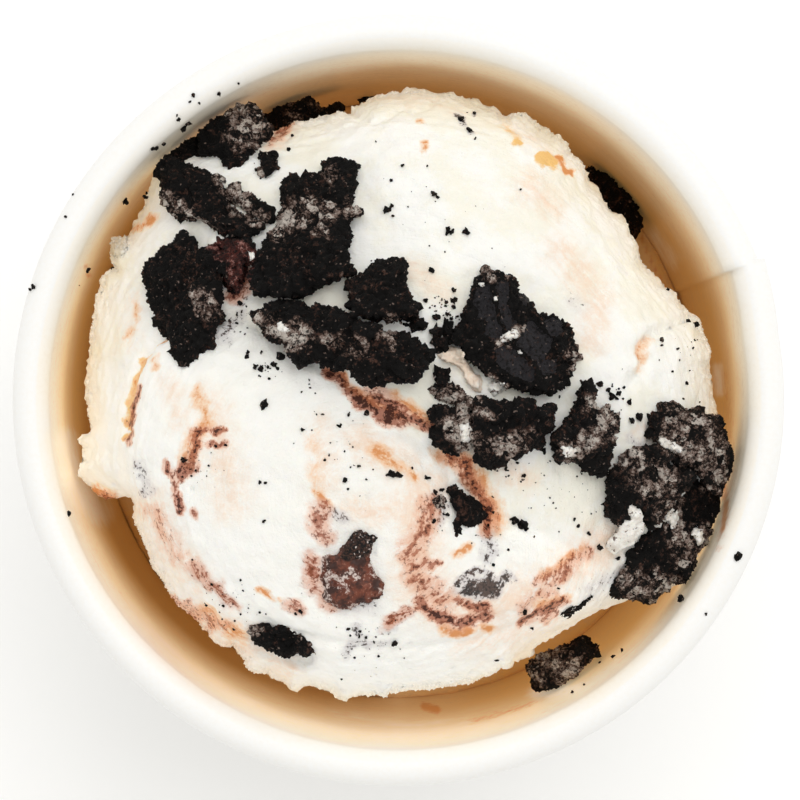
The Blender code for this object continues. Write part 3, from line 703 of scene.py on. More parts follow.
CARAMEL_STREAKS = {
    "ribbon": (1.0, 0.8, (330, 370), (352, 386), (374, 405), (398, 414)),
    "ribbon_right": (1.4, 0.7, (395, 395), (412, 410), (430, 420)),
    "ribbon_down": (2.3, 0.75, (440, 452), (464, 460), (478, 482), (492, 520)),
    "left_edge": (0.5, 0.5, (148, 352), (139, 372), (131, 400), (126, 440)),
    "swirl": (1.9, 0.6, (200, 402), (206, 420), (194, 436), (186, 460)),
    "top_spot": (1.2, 0.6, (196, 390), (198, 398)),
    "freckles": (1.9, 0.36, (312, 436), (318, 455), (314, 474), (322, 488)),
    "second_swirl": (1.7, 0.62, (374, 449), (388, 456), (397, 468)),
    "thin_line": (0.7, 0.6, (392, 462), (406, 470), (419, 479)),
    "brownie_top": (1.1, 0.7, (316, 492), (330, 506)),
    "blob": (1.3, 0.8, (458, 553), (464, 548), (470, 545)),
    "under_curve": (1.2, 0.8, (443, 630), (456, 634), (470, 630)),
    "under_curve_right": (1.0, 0.7, (482, 627), (493, 632)),
    "drag": (0.7, 0.75, (258, 588), (270, 595)),
    "drag_on": (0.6, 0.6, (271, 595), (281, 602)),
    "right_streak": (1.2, 0.6, (548, 577), (566, 562), (580, 550)),
    "right_low": (1.1, 0.6, (540, 612), (572, 603)),
    "left_spots": (1.2, 0.62, (151, 216), (144, 223), (139, 229)),
    "crescent_spot": (0.9, 0.5, (137, 306), (134, 320)),
    "crescent_low": (1.0, 0.5, (131, 330), (127, 338)),
    "yellow_crease": (0.45, 0.6, (165, 334), (152, 345), (143, 358), (133, 380), (126, 402)),
    "left_freckles": (1.0, 0.5, (154, 358), (156, 368)),
    "top_brown": (0.4, 0.9, (556, 157), (562, 167), (571, 175)),
    "top_orange": (0.7, 0.9, (425, 143), (425, 151)),
    "top_orange_small": (0.5, 0.7, (419, 119), (423, 120)),
    "lobe_crease": (1.1, 0.5, (650, 336), (641, 350), (645, 362), (638, 372)),
    "skirt": (1.4, 0.6, (204, 612), (226, 628), (240, 636)),
    "tab": (1.6, 0.7, (98, 490), (112, 502)),
}
TOFFEE_STREAKS = {
    "top": (1.1, 0.95, (541, 160), (548, 158), (555, 163)),
    "top_small": (0.6, 0.8, (513, 144), (518, 145)),
    "top_faint": (1.6, 0.3, (506, 125), (516, 134), (518, 142)),
    "left_crease": (0.6, 0.7, (143, 358), (133, 380), (126, 402), (124, 440)),
}
DUST_AND_SHADE_STREAKS = {
    "smear": (2.0, 1.0, (464, 587), (478, 591), (492, 587)),
    "smear_end": (1.2, 0.8, (494, 586), (506, 582), (514, 577)),
    "smear_top": (0.7, 0.8, (464, 574), (480, 572), (495, 574)),
    "front": (1.5, 0.7, (386, 628), (397, 620), (406, 612)),
    "front_low": (1.0, 0.55, (352, 640), (366, 647), (384, 648)),
    "front_dots": (1.2, 0.55, (356, 628), (360, 638), (344, 657)),
    "left_green": (1.3, 0.5, (136, 462), (141, 472), (146, 492)),
    "drag_speckles": (1.6, 0.55, (196, 572), (215, 590), (228, 604)),
    "lilac": (2.4, 0.42, (243, 292), (236, 312), (226, 336)),
    "crease_grey": (1.3, 0.5, (382, 392), (392, 402), (402, 414)),
    "by_brownie": (2.4, 0.4, (308, 562), (312, 590), (332, 604), (372, 606)),
    "above_brownie": (1.5, 0.6, (322, 506), (334, 514), (346, 522)),
    "by_crease_cookie": (1.6, 0.6, (488, 530), (492, 548), (487, 560)),
    "chips": (1.4, 0.5, (434, 498), (444, 506), (440, 520)),
    "blob": (1.2, 0.5, (633, 438), (641, 446)),
    "back_lilac": (2.2, 0.3, (572, 300), (580, 308)),
    "back_dirt": (0.8, 0.8, (460, 117), (462, 122)),
    "back_dirt_low": (0.7, 0.8, (468, 131), (471, 133)),
    "back_dirt_top": (0.5, 0.7, (474, 113), (476, 114)),
    # Painted shade, laid on as grey dust.
    "right_shade": (1.6, 0.35, (592, 600), (606, 586), (616, 572)),
}
HAZE_STREAKS = {
    "swirl": (5.5, 0.75, (206, 405), (222, 450), (232, 500)),
    "flank": (4.5, 0.8, (150, 505), (172, 550), (200, 585)),
    "left_top": (3.0, 0.7, (170, 385), (178, 420)),
    "freckles": (5.0, 0.55, (320, 420), (330, 460), (325, 500)),
    "second_swirl": (4.5, 0.9, (360, 440), (392, 460), (420, 485)),
    "under_swirl": (4.0, 0.8, (352, 508), (380, 512), (404, 502)),
    "pink": (6.0, 1.0, (424, 490), (420, 530), (414, 580)),
    "cluster": (6.5, 0.9, (430, 600), (480, 610), (530, 595)),
    "right": (6.0, 0.9, (545, 600), (575, 570), (600, 545)),
    "right_peach": (3.5, 0.8, (508, 474), (530, 480)),
    "front": (5.0, 0.7, (470, 640), (520, 630), (560, 605)),
    "back_one": (4.0, 0.8, (528, 186), (552, 206)),
    "back_two": (4.5, 0.8, (560, 252), (600, 300), (590, 340)),
    "back_three": (3.5, 0.7, (412, 270), (445, 292)),
    "crease": (2.5, 0.8, (455, 455), (480, 490), (495, 525)),
    "skirt_left": (3.5, 0.8, (200, 612), (240, 640), (290, 668)),
    "crescent": (3.5, 0.5, (135, 300), (126, 345)),
    "by_slab": (3.0, 0.6, (640, 430), (660, 440)),
    "top_left_edge": (2.2, 1.0, (268, 146), (290, 128)),
    "top_edge": (2.4, 0.5, (345, 104), (380, 96), (420, 98), (460, 110)),
    "top_right": (2.4, 0.5, (500, 118), (540, 140), (560, 165)),
}

noise.seed_set(WANDER_SEED)


def wandered(places, reach, size):
    """Places in the photo moved about by smooth noise, so that what follows a path gets a ragged edge."""
    moves = [noise.noise_vector(Vector((x / size, y / size, 0.5))) for x, y in places]
    return places + reach * np.array(moves)[:, :2]


def reach_of(outline, headings, middle):
    """How far a closed outline goes from its middle, in each heading."""
    start = np.array(outline, float) - middle
    run = np.roll(start, -1, axis=0) - start
    ways = np.column_stack((np.cos(headings), np.sin(headings)))
    cross = ways[:, :1] * run[None, :, 1] - ways[:, 1:] * run[None, :, 0]
    cross[np.abs(cross) < TINY] = TINY
    reach = (start[None, :, 0] * run[None, :, 1] - start[None, :, 1] * run[None, :, 0]) / cross
    share = (start[None, :, 0] * ways[:, 1:] - start[None, :, 1] * ways[:, :1]) / cross
    met = (share >= -NEARLY) & (share <= 1 + NEARLY) & (reach > 0)
    return np.where(met, reach, 0).max(axis=1)


def seen_from(points, outline, window):
    """Points as seen round an outline's middle in the photo.

    It gives that middle, the points' offsets from it, how much each has to be stretched for the edge to meet
    the outline, and its share of the way from the middle to the edge.
    """
    outline = np.array(outline, float)
    middle = (outline.min(0) + outline.max(0) + 2 * outline.mean(0)) / 4
    offsets = photo_places(points) - middle
    heading = np.arctan2(offsets[:, 1], offsets[:, 0])
    far = np.linalg.norm(offsets, axis=1)
    bins = np.clip(((heading + math.pi) / math.tau * OUTLINE_STEPS).astype(int), 0, OUTLINE_STEPS - 1)
    now = np.zeros(OUTLINE_STEPS)
    np.maximum.at(now, bins, far)
    spread = round(window / 360 * OUTLINE_STEPS)
    now = np.max([np.roll(now, i) for i in range(-spread, spread + 1)], axis=0)
    now = np.mean([np.roll(now, i) for i in range(-spread, spread + 1)], axis=0)
    steps = (np.arange(OUTLINE_STEPS) + 0.5) / OUTLINE_STEPS * math.tau - math.pi
    stretch = np.interp(heading, steps, reach_of(outline, steps, middle) / now, period=math.tau)
    share = np.clip(far / np.interp(heading, steps, now, period=math.tau), 0, 1)
    return middle, offsets, stretch, share


def fit_outline(points, outline, core=0.0, soft=0.5, clearance=WALL_CLEARANCE, window=4.0, fuller=0.0):
    """Moves points sideways, so that from above their edge follows an outline. The core stays where it is."""
    middle, offsets, stretch, share = seen_from(points, outline, window)
    stretch = np.clip(stretch, STRETCH_LEAST, STRETCH_MOST)
    stretch = 1 + (stretch - 1) * np.clip((share - core) / soft, 0, 1)
    stretch += fuller * np.sin(math.pi * np.clip(2 * share - 1, 0, 1))
    places = middle + offsets * stretch[:, None]
    scale = pixels_per_metre(points[:, 2])
    moved = points.copy()
    moved[:, 0] = eye.x + (places[:, 0] - PHOTO_SIDE / 2) / scale
    moved[:, 1] = eye.y - (places[:, 1] - PHOTO_SIDE / 2) / scale
    radius = np.linalg.norm(moved[:, :2], axis=1)
    room = np.minimum(inner_radius(moved[:, 2]), curl_middle - curl_radius - PAPER / 2) - clearance
    room = np.where(moved[:, 2] > rim_level, RIM_RADIUS, room)
    moved[:, :2] *= np.minimum(1, room / radius)[:, None]
    return moved


def clay(names, swell, sunk=()):
    """One welded mesh of CAD nodes, swollen outwards. Those in sunk are lowered and fill their hollows."""
    bm = bmesh.new()
    for name in sunk:
        bm.from_mesh(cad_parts[name].data)
    bmesh.ops.translate(bm, verts=bm.verts, vec=(0, 0, -SUNK))
    for name in names:
        bm.from_mesh(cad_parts[name].data)
    bmesh.ops.remove_doubles(bm, verts=bm.verts, dist=WELD)
    bm.normal_update()
    for vertex, way in [(v, v.normal.copy()) for v in bm.verts]:
        vertex.co += way * swell
    mesh = bpy.data.meshes.new("clay")
    bm.to_mesh(mesh)
    bm.free()
    return mesh


def recut(mesh, cell):
    """The mesh cut anew into even cells, as one skin."""
    carrier = add_to_scene("recut", mesh)
    remesh = carrier.modifiers.new("cells", "REMESH")
    remesh.mode = "VOXEL"
    remesh.voxel_size = cell
    return made_of(carrier)


def thin_hidden(mesh, share):
    """Merges faces that the tub hides, until only a share of all the faces is left."""
    carrier = add_to_scene("thinned", mesh)
    hidden = carrier.vertex_groups.new(name="hidden")
    hidden.add(np.flatnonzero(points_of(mesh)[:, 2] < HIDDEN_BELOW).tolist(), 1.0, "REPLACE")
    decimate = carrier.modifiers.new("thin", "DECIMATE")
    decimate.ratio = share
    decimate.vertex_group = "hidden"
    return made_of(carrier)


def split_edge_zone(mesh, outline, share, lowest):
    """Cuts the cells that make up the edge of the form as seen from above into three each way."""
    points = points_of(mesh)
    _, _, _, reached = seen_from(points, outline, EDGE_WINDOW)
    near = (reached > share) & (points[:, 2] > lowest) & (normals_of(mesh)[:, 2] > EDGE_FACING)
    bm = bmesh.new()
    bm.from_mesh(mesh)
    edges = [e for e in bm.edges if near[e.verts[0].index] and near[e.verts[1].index]]
    bmesh.ops.subdivide_edges(bm, edges=edges, cuts=2, use_grid_fill=True)
    bm.to_mesh(mesh)
    bm.free()


def set_points(mesh, points):
    """Moves a mesh's points."""
    mesh.vertices.foreach_set("co", np.asarray(points, np.float32).ravel())
    mesh.update()


def squash_hidden(mesh, squash):
    """Presses what lies below HIDDEN_BELOW together, or draws it out again."""
    points = points_of(mesh)
    below = np.minimum(points[:, 2] - HIDDEN_BELOW, 0)
    points[:, 2] += below * (squash - 1)
    set_points(mesh, points)


def drag_places(points):
    """Places for the drag marks, which run round the front scoop: outwards, and round a small circle."""
    low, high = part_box("scoop_front")
    middle = (low + high) / 2
    x, y = points[:, 0] - middle.x, points[:, 1] - middle.y
    heading = np.arctan2(y, x)
    outwards = np.hypot(x, y) - DRAG_SLANT * points[:, 2]
    return np.column_stack((outwards, DRAG_ROUND * np.cos(heading), DRAG_ROUND * np.sin(heading)))


def named(nodes, name, kind="FLOAT"):
    """What a mesh holds for each point, in a Geometry Nodes tree."""
    return nodes.add("GeometryNodeInputNamedAttribute", {"data_type": kind}, {"Name": name})


def moved_out(nodes, shape, lift):
    """A shape with each point moved along its normal."""
    way = nodes.scaled(nodes.add("GeometryNodeInputNormal"), lift)
    return nodes.add("GeometryNodeSetPosition", None, {"Geometry": shape, "Offset": way})


def softened(nodes, shape, times, weight):
    """A shape with its points smoothed, the more so where weight is high."""
    soft = nodes.add("GeometryNodeBlurAttribute", {"data_type": "FLOAT_VECTOR"}, {
        "Value": nodes.add("GeometryNodeInputPosition"), "Iterations": times, "Weight": weight})
    return nodes.add("GeometryNodeSetPosition", None, {"Geometry": shape, "Position": soft})


def scooped_tree():
    """Softens the ice cream where it runs together, then gives it waves, drag marks, torn lips and pits."""
    nodes, given = geometry_tree("scooped", {
        "Soften": "Int", "Melt": "Int", "Waves": "Float", "Drag": "Float", "Tears": "Float",
        "Fringe": "Float", "Lumps": "Float", "Pits": "Float", "Material": "Material"})
    edge = named(nodes, "edge")
    shape = softened(nodes, given["Geometry"], given["Soften"], 1 - edge)
    shape = softened(nodes, shape, given["Melt"], named(nodes, "melted"))
    position = nodes.add("GeometryNodeInputPosition")
    flow = named(nodes, "flow", "FLOAT_VECTOR")
    waves = nodes.noise(position, WAVE_SIZE, 3.0) - 0.5
    lumps = nodes.noise(position, LUMP_SIZE, 3.0, 0.6) - 0.5
    drag = nodes.noise(flow, DRAG_SIZE, 3.0, 0.6) - 0.5
    tears = nodes.noise(position, TEAR_SIZE, 5.0, 0.75) - 0.45
    fringe = nodes.noise(position, FRINGE_SIZE, 4.0, 0.8) - 0.5
    pits = nodes.rise(nodes.noise(position, PIT_SIZE, 3.0), 0.35, 0.2)
    lift = waves * given["Waves"] + lumps * given["Lumps"] + drag * given["Drag"] * named(nodes, "dragged")
    lift = lift + tears * given["Tears"] * named(nodes, "torn") + fringe * given["Fringe"] * edge
    lift = lift - pits * given["Pits"] - named(nodes, "carved")
    return end_tree(nodes, moved_out(nodes, shape, lift), given["Material"])


def ice_cream_material():
    """Vanilla ice cream, with the mesh's stains spread out raggedly over it, and a painted glow on its
    slopes.
    """
    material, nodes, shader, place = new_material("vanilla_ice_cream", {
        "Subsurface Weight": 0.15, "Subsurface Radius": (1.0, 0.8, 0.6), "Subsurface Scale": 0.8 * MM,
        "Specular IOR Level": 0.3, "IOR": 1.4, "Emission Strength": CREAM_GLOW})
    flow = nodes.add("ShaderNodeAttribute", {"attribute_name": "flow"}, out="Vector")
    streaky = nodes.noise(flow, 0.7 * MM, 4.0, 0.65)
    fine = nodes.noise(place, 0.3 * MM, 4.0, 0.7)
    speckle = nodes.noise(place, 0.8 * MM, 5.0, 0.8)
    cloud = nodes.noise(place, 8 * MM, 3.0)
    level = nodes.axes(place).other("Z")
    warm = nodes.rise(cloud + 0.3 * (speckle - 0.5), 0.42, 0.62) * (0.6 - 0.5 * nodes.painted("front"))
    colour = nodes.tint(warm, CREAM, CREAM_WARM)
    colour = nodes.laid(colour, CREAM_SHADED, level, 48 * MM, 38 * MM)
    blotchy = nodes.noise(place, 1.7 * MM, 4.0, 0.6)
    ragged = 1.6 * blotchy + 1.2 * streaky + 0.9 * speckle + 0.9 * fine - 2.3

    def spread(name):
        """A stain, made ragged."""
        return nodes.painted(name) * (1 + ragged)

    colour = nodes.laid(colour, HAZE, spread("haze"), 0.1, 1.1, 0.75)
    colour = nodes.laid(colour, TOFFEE, spread("toffee"), 0.1, 0.45, 0.85)
    caramel = spread("caramel")
    colour = nodes.laid(colour, CARAMEL_PALE, caramel, 0.08, 0.5, 0.75)
    colour = nodes.laid(colour, CARAMEL, caramel, 0.4, 0.66, 0.85)
    spotty = nodes.noise(place, 0.5 * MM, 2.0, 0.6)
    # Cookie dust, and in one place painted shade.
    dust_and_shade = spread("dust_and_shade")
    colour = nodes.laid(colour, DUST_PALE, dust_and_shade, 0.06, 0.5, 0.55)
    ground = nodes.tint(nodes.rise(fine + 0.8 * (blotchy - 0.5), 0.46, 0.6), DUST, DUST_BROWN)
    colour = nodes.laid(colour, ground, dust_and_shade + 1.6 * (spotty - 0.5) + 0.6 * (streaky - 0.5), 0.42, 0.74, 0.95)
    stain = spread("chocolate")
    colour = nodes.laid(colour, CHOCOLATE_PALE, stain, 0.02, 0.4, 0.65)
    chocolate = nodes.rise(stain + 0.5 * (spotty - 0.5) + 0.9 * (streaky - 0.5), 0.36, 0.58)
    colour = nodes.tint(chocolate * 0.72, colour, CHOCOLATE)
    spots = nodes.rise(spotty + 0.2 * stain, 0.64, 0.7) * nodes.rise(stain, 0.1, 0.3)
    colour = nodes.tint(spots * 0.55, colour, CHOCOLATE_DEEP)
    colour = nodes.laid(colour, CHOCOLATE_DARK, stain + 1.0 * (spotty - 0.5), 0.74, 0.9, 0.9)
    relief = nodes.relief(0.6 * streaky + 0.4 * fine + 0.8 * speckle, 0.32 * MM, 0.8)
    # The emission is a painted glow on the slopes.
    nodes.feed(shader, {"Base Color": colour, "Roughness": 0.46 - 0.14 * chocolate + 0.2 * (fine - 0.5),
                        "Emission Color": nodes.tint(nodes.painted("lit"), BLACK, colour), "Normal": relief})
    return material


scoops = clay(("scoop_back", "scoop_front"), PRESSED, ("brownie", "cookie_crease"))
squash_hidden(scoops, HIDDEN_SQUASH)
ice_cream_mesh = recut(scoops, ICE_CREAM_CELL)
squash_hidden(ice_cream_mesh, 1 / HIDDEN_SQUASH)
ice_cream_mesh = thin_hidden(ice_cream_mesh, KEPT_SHARE)
split_edge_zone(ice_cream_mesh, ICE_CREAM_EDGE, EDGE_SHARE, EDGE_LOWEST)
set_points(ice_cream_mesh, fit_outline(
    points_of(ice_cream_mesh), ICE_CREAM_EDGE, core=0.82, soft=0.14, clearance=CREAM_CLEARANCE, window=1.5,
    fuller=FULLER))
cream_points, cream_normals = points_of(ice_cream_mesh), normals_of(ice_cream_mesh)
cream_places = photo_places(cream_points)
stain_places = wandered(wandered(cream_places, reach=5, size=22), reach=4, size=8)
visible = np.clip((cream_points[:, 2] - SHOWN_FROM) / SHOWN_FADE, 0, 1)
to_edge = distance_to(cream_places, ICE_CREAM_EDGE + ICE_CREAM_EDGE[:1])
paint(ice_cream_mesh, "edge", np.clip(1.4 - to_edge / EDGE_REACH, 0, 1))
for stain, streaks in {"chocolate": CHOCOLATE_STREAKS, "caramel": CARAMEL_STREAKS, "toffee": TOFFEE_STREAKS,
                       "dust_and_shade": DUST_AND_SHADE_STREAKS, "haze": HAZE_STREAKS}.items():
    paint(ice_cream_mesh, stain, streaked(stain_places, streaks) * visible)
flow = ice_cream_mesh.attributes.new("flow", "FLOAT_VECTOR", "POINT")
flow.data.foreach_set("vector", drag_places(cream_points).astype(np.float32).ravel())
paint(ice_cream_mesh, "melted", np.clip(1.25 - distance_to(cream_places, RUN_TOGETHER) / MELT_REACH, 0, 1))
bent_places = wandered(cream_places, reach=4, size=12)
carved = sum(strength * np.exp(-(distance_to(bent_places, path) / width) ** 2)
             for width, strength, *path in CREASES.values())
paint(ice_cream_mesh, "carved", CREASE_DEPTH * carved * visible)
below_crease = cream_places[:, 1] - np.interp(cream_places[:, 0], *np.transpose(CREASE))
paint(ice_cream_mesh, "front", np.clip(below_crease / FRONT_FADE, 0, 1))
# Painted glow: the cream glows more, the steeper it slopes.
slope = np.clip(0.05 + 1.3 * (1 - cream_normals[:, 2]), 0, 1)
paint(ice_cream_mesh, "lit", slope * visible)
steep = np.clip(1.1 - cream_normals[:, 2] * 1.6, 0, 1)
paint(ice_cream_mesh, "torn", steep * np.exp(-((cream_points[:, 2] - TORN_LEVEL) / TORN_FADE) ** 2))
paint(ice_cream_mesh, "dragged", 0.35 + 0.65 * np.clip(1 - cream_normals[:, 2] ** 2, 0, 1))

cream_finish = ice_cream_material()
ice_cream = run_tree("ice_cream", ice_cream_mesh, scooped_tree(), {
    "Soften": 14, "Melt": 160, "Waves": 0.9 * MM, "Drag": 0.6 * MM, "Tears": 1.3 * MM, "Fringe": 1.9 * MM,
    "Lumps": 1.1 * MM, "Pits": 0.4 * MM, "Material": cream_finish})
ice_cream.data.shade_smooth()
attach(ice_cream, "root")
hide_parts("scoop_front", "scoop_back")

# ---------------------------------------------------------------- the melted cream
# What has melted lies in the bottom of the tub, up against the wall, as wet and brown as the board is there.
# It carries the board's painted shade and painted glow as well.

MELTED_CELL = 0.6 * MM
MELTED_SWELL = 0.45 * MM

melted = recut(clay(("melted_cream",), MELTED_SWELL), MELTED_CELL)
paint_wet_shade_and_glow(melted, points_of(melted), np.ones(len(melted.vertices), bool))
melted_cream = add_to_scene("melted_cream_pool", melted)
melted.materials.clear()
melted.materials.append(paper)
melted.shade_smooth()
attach(melted_cream, "root")
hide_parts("melted_cream")

# ---------------------------------------------------------------- the broken cookies
# Dark chocolate wafers with a white filling between them, broken up by hand. Each piece is crumbly all over,
# and its broken sides carry smears of the filling, speckled with crumbs.

COOKIE_CELL = 0.22 * MM
COOKIE_SETTLED = 0.2 * MM  # how far a piece has sunk into what carries it
SEED_STEP = 0.37  # how far the noise is shifted from one piece to the next

COOKIE_BLACK = srgb(6, 4, 3)
COOKIE_BROWN = srgb(80, 54, 44)
COOKIE_GRAIN = srgb(112, 94, 85)
COOKIE_FLAT = srgb(50, 48, 51)
FILLING_STAIN = srgb(92, 72, 63)
FILLING_GREY = srgb(144, 124, 114)
FILLING_WHITE = srgb(214, 204, 194)
FUDGE = srgb(100, 46, 38)
FUDGE_DARK = srgb(44, 20, 18)
FUDGE_PALE = srgb(196, 148, 138)
FUDGE_STREAKS = {
    "between_cookies": (2.6, 0.9, (220, 246), (244, 256), (238, 280)),
    "small": (1.4, 0.8, (264, 158), (272, 167)),
}
SMEAR_LUMP = 1.1 * MM  # size of a lump of smeared filling
LEDGE_SIZE = 2.6 * MM
CRAG_SIZE = 1.5 * MM
BEND_SIZE = 1.3 * MM
CRUMB_SIZE = 0.8 * MM
GRAIN_SIZE = 0.4 * MM
PLATEAU_DEPTH = 0.45 * MM
PLATEAU_MARGIN = 0.3  # millimetres

# The outline from above of each piece that isn't hidden for the most part, in pixels.
OUTLINES = {
    "cookie_crumbly": (
        (194, 121), (200, 117), (208, 119), (216, 118), (224, 114), (228, 109), (232, 104), (238, 101),
        (246, 104), (254, 104), (258, 110), (260, 117), (266, 122), (271, 128), (270, 135), (263, 146),
        (256, 150), (248, 157), (243, 165), (240, 169), (232, 169), (226, 166), (220, 162), (218, 156),
        (212, 157), (206, 159), (201, 153), (200, 138), (199, 131), (194, 126)),
    "cookie_dark": (
        (188, 118), (194, 119), (200, 130), (201, 145), (202, 157), (204, 168), (188, 172), (168, 168),
        (157, 165), (156, 159), (166, 152), (164, 146), (170, 141), (178, 137), (182, 131), (186, 126)),
    "cookie_shard": (
        (153, 171), (157, 161), (161, 155), (168, 152), (175, 156), (186, 165), (203, 171), (220, 174),
        (228, 179), (221, 182), (219, 188), (226, 194), (232, 202), (236, 215), (246, 217), (257, 220),
        (266, 228), (262, 233), (250, 235), (238, 237), (222, 236), (209, 231), (205, 225), (198, 222),
        (192, 224), (189, 219), (182, 220), (175, 216), (170, 212), (164, 205), (156, 192), (162, 190),
        (159, 183), (160, 177)),
    "cookie_shard_end": (
        (233, 183), (240, 189), (250, 189), (262, 196), (266, 203), (272, 211), (274, 218), (268, 222),
        (258, 219), (238, 218), (232, 204), (225, 197), (220, 190), (223, 183)),
    "cookie_left": (
        (183, 231), (187, 236), (193, 236), (197, 242), (198, 250), (206, 246), (215, 243), (221, 247),
        (222, 262), (226, 280), (222, 295), (220, 305), (225, 313), (224, 322), (218, 331), (217, 340),
        (218, 348), (211, 352), (205, 354), (196, 362), (191, 364), (187, 369), (178, 364), (171, 357),
        (166, 345), (161, 331), (156, 329), (154, 323), (156, 317), (150, 306), (145, 298), (144, 290),
        (143, 283), (145, 279), (141, 275), (142, 268), (145, 264), (158, 258), (162, 250), (170, 248),
        (176, 242), (179, 237)),
    "cookie_fudge": (
        (213, 244), (222, 238), (232, 236), (246, 234), (254, 243), (257, 252), (256, 262), (250, 263),
        (243, 267), (238, 275), (241, 290), (233, 295), (226, 286), (220, 275), (214, 262)),
    "cookie_tall": (
        (281, 177), (293, 174), (302, 177), (304, 169), (319, 168), (323, 161), (341, 154), (355, 158),
        (361, 166), (358, 180), (352, 193), (354, 203), (366, 206), (368, 214), (354, 222), (351, 238),
        (349, 262), (357, 272), (353, 281), (343, 278), (324, 285), (308, 296), (300, 299), (254, 297),
        (250, 288), (249, 276), (252, 266), (246, 264), (250, 260), (260, 252), (264, 240), (269, 231),
        (278, 227), (275, 217), (283, 204), (282, 190)),
    "cookie_wide": (
        (247, 318), (248, 308), (257, 304), (260, 300), (285, 300), (300, 302), (306, 304), (318, 300),
        (326, 307), (340, 309), (352, 318), (365, 328), (405, 332), (418, 340), (431, 344), (437, 352),
        (435, 359), (430, 363), (428, 371), (426, 379), (412, 383), (400, 385), (394, 388), (372, 388),
        (361, 386), (353, 375), (347, 371), (328, 370), (312, 363), (306, 361), (302, 366), (295, 367),
        (292, 361), (288, 356), (283, 346), (272, 341), (265, 338), (259, 331), (250, 324)),
    "cookie_knob": (
        (345, 285), (352, 282), (358, 281), (361, 275), (366, 271), (373, 266), (380, 261), (396, 258),
        (402, 261), (407, 268), (406, 280), (405, 289), (408, 296), (413, 305), (420, 307), (421, 319),
        (425, 325), (424, 331), (410, 335), (380, 336), (358, 330), (348, 320), (346, 308), (348, 297)),
    "cookie_face": (
        (484, 267), (489, 271), (500, 270), (510, 273), (516, 279), (518, 286), (526, 288), (531, 294),
        (533, 301), (535, 309), (548, 310), (556, 317), (570, 319), (575, 325), (574, 341), (580, 357),
        (579, 369), (574, 377), (562, 385), (555, 389), (550, 396), (530, 396), (524, 391), (502, 386),
        (494, 379), (485, 374), (473, 367), (465, 360), (461, 346), (452, 342), (451, 325), (459, 317),
        (466, 302), (469, 291), (476, 286), (475, 281), (483, 276)),
    "cookie_mid": (
        (476, 395), (486, 401), (510, 400), (525, 400), (533, 403), (538, 410), (548, 406), (558, 405),
        (551, 412), (553, 420), (553, 427), (546, 432), (544, 440), (542, 447), (530, 449), (518, 455),
        (508, 460), (500, 465), (487, 468), (474, 460), (478, 453), (473, 442), (473, 427), (469, 416),
        (474, 406)),
    "cookie_slab": (
        (577, 398), (578, 389), (582, 383), (591, 379), (594, 385), (589, 392), (586, 400), (593, 401),
        (600, 409), (607, 404), (611, 410), (619, 417), (618, 430), (612, 436), (616, 442), (612, 448),
        (617, 456), (614, 462), (609, 468), (608, 478), (598, 478), (588, 475), (578, 468), (572, 461),
        (564, 461), (556, 462), (556, 452), (552, 438), (560, 428), (566, 419), (572, 407)),
    "cookie_grey": (
        (427, 410), (440, 405), (452, 411), (462, 406), (472, 412), (474, 425), (475, 438), (470, 449),
        (456, 455), (444, 452), (434, 444), (431, 432), (437, 424), (428, 418)),
    "cookie_right_top": (
        (641, 420), (643, 412), (650, 409), (656, 405), (664, 402), (683, 404), (690, 410), (702, 408),
        (711, 415), (719, 418), (726, 431), (727, 440), (734, 455), (731, 472), (727, 480), (722, 490),
        (723, 498), (716, 495), (708, 488), (698, 470), (683, 469), (674, 463), (668, 453), (660, 447),
        (645, 437)),
    "cookie_right_left": (
        (617, 463), (622, 457), (630, 452), (645, 448), (660, 448), (669, 453), (672, 464), (690, 470),
        (698, 470), (696, 480), (688, 490), (676, 500), (664, 511), (658, 522), (653, 533), (646, 524),
        (638, 508), (631, 500), (622, 512), (621, 524), (618, 529), (608, 516), (603, 503), (605, 490),
        (609, 476)),
    "cookie_right_dark": (
        (699, 472), (703, 480), (710, 488), (718, 497), (722, 508), (721, 516), (727, 520), (722, 525),
        (712, 530), (700, 531), (684, 532), (668, 533), (655, 531), (655, 511), (664, 502), (678, 494),
        (690, 482)),
    "cookie_right_low": (
        (622, 555), (629, 547), (638, 534), (648, 526), (664, 521), (684, 520), (704, 523), (714, 530),
        (721, 533), (722, 545), (721, 558), (718, 568), (711, 577), (700, 583), (688, 588), (682, 582),
        (671, 584), (668, 593), (660, 595), (658, 604), (652, 606), (640, 603), (633, 598), (618, 597),
        (609, 592), (609, 587), (619, 575), (628, 566)),
    "cookie_gap_back": (
        (262, 124), (268, 116), (275, 110), (285, 106), (297, 103), (307, 98), (314, 98), (315, 105),
        (324, 108), (333, 105), (344, 106), (342, 113), (322, 120), (290, 131), (268, 134)),
    "cookie_low": (
        (568, 642), (576, 639), (583, 636), (588, 641), (592, 646), (599, 648), (602, 656), (595, 658),
        (591, 668), (589, 678), (575, 683), (560, 689), (545, 692), (533, 688), (528, 677), (523, 666),
        (540, 656), (555, 647)),
    "cookie_in_front": (
        (246, 623), (255, 620), (266, 624), (276, 624), (284, 622), (291, 628), (298, 626), (306, 632),
        (313, 640), (324, 643), (315, 648), (319, 653), (326, 656), (310, 656), (297, 653), (288, 658),
        (274, 653), (260, 646), (252, 634)),
    "cookie_crease": (
        (447, 484), (453, 480), (459, 487), (462, 493), (468, 498), (475, 501), (481, 507), (485, 515),
        (480, 521), (472, 525), (464, 528), (461, 534), (459, 541), (453, 540), (450, 530), (448, 522),
        (455, 514), (451, 507), (447, 503), (448, 496), (443, 489)),
}

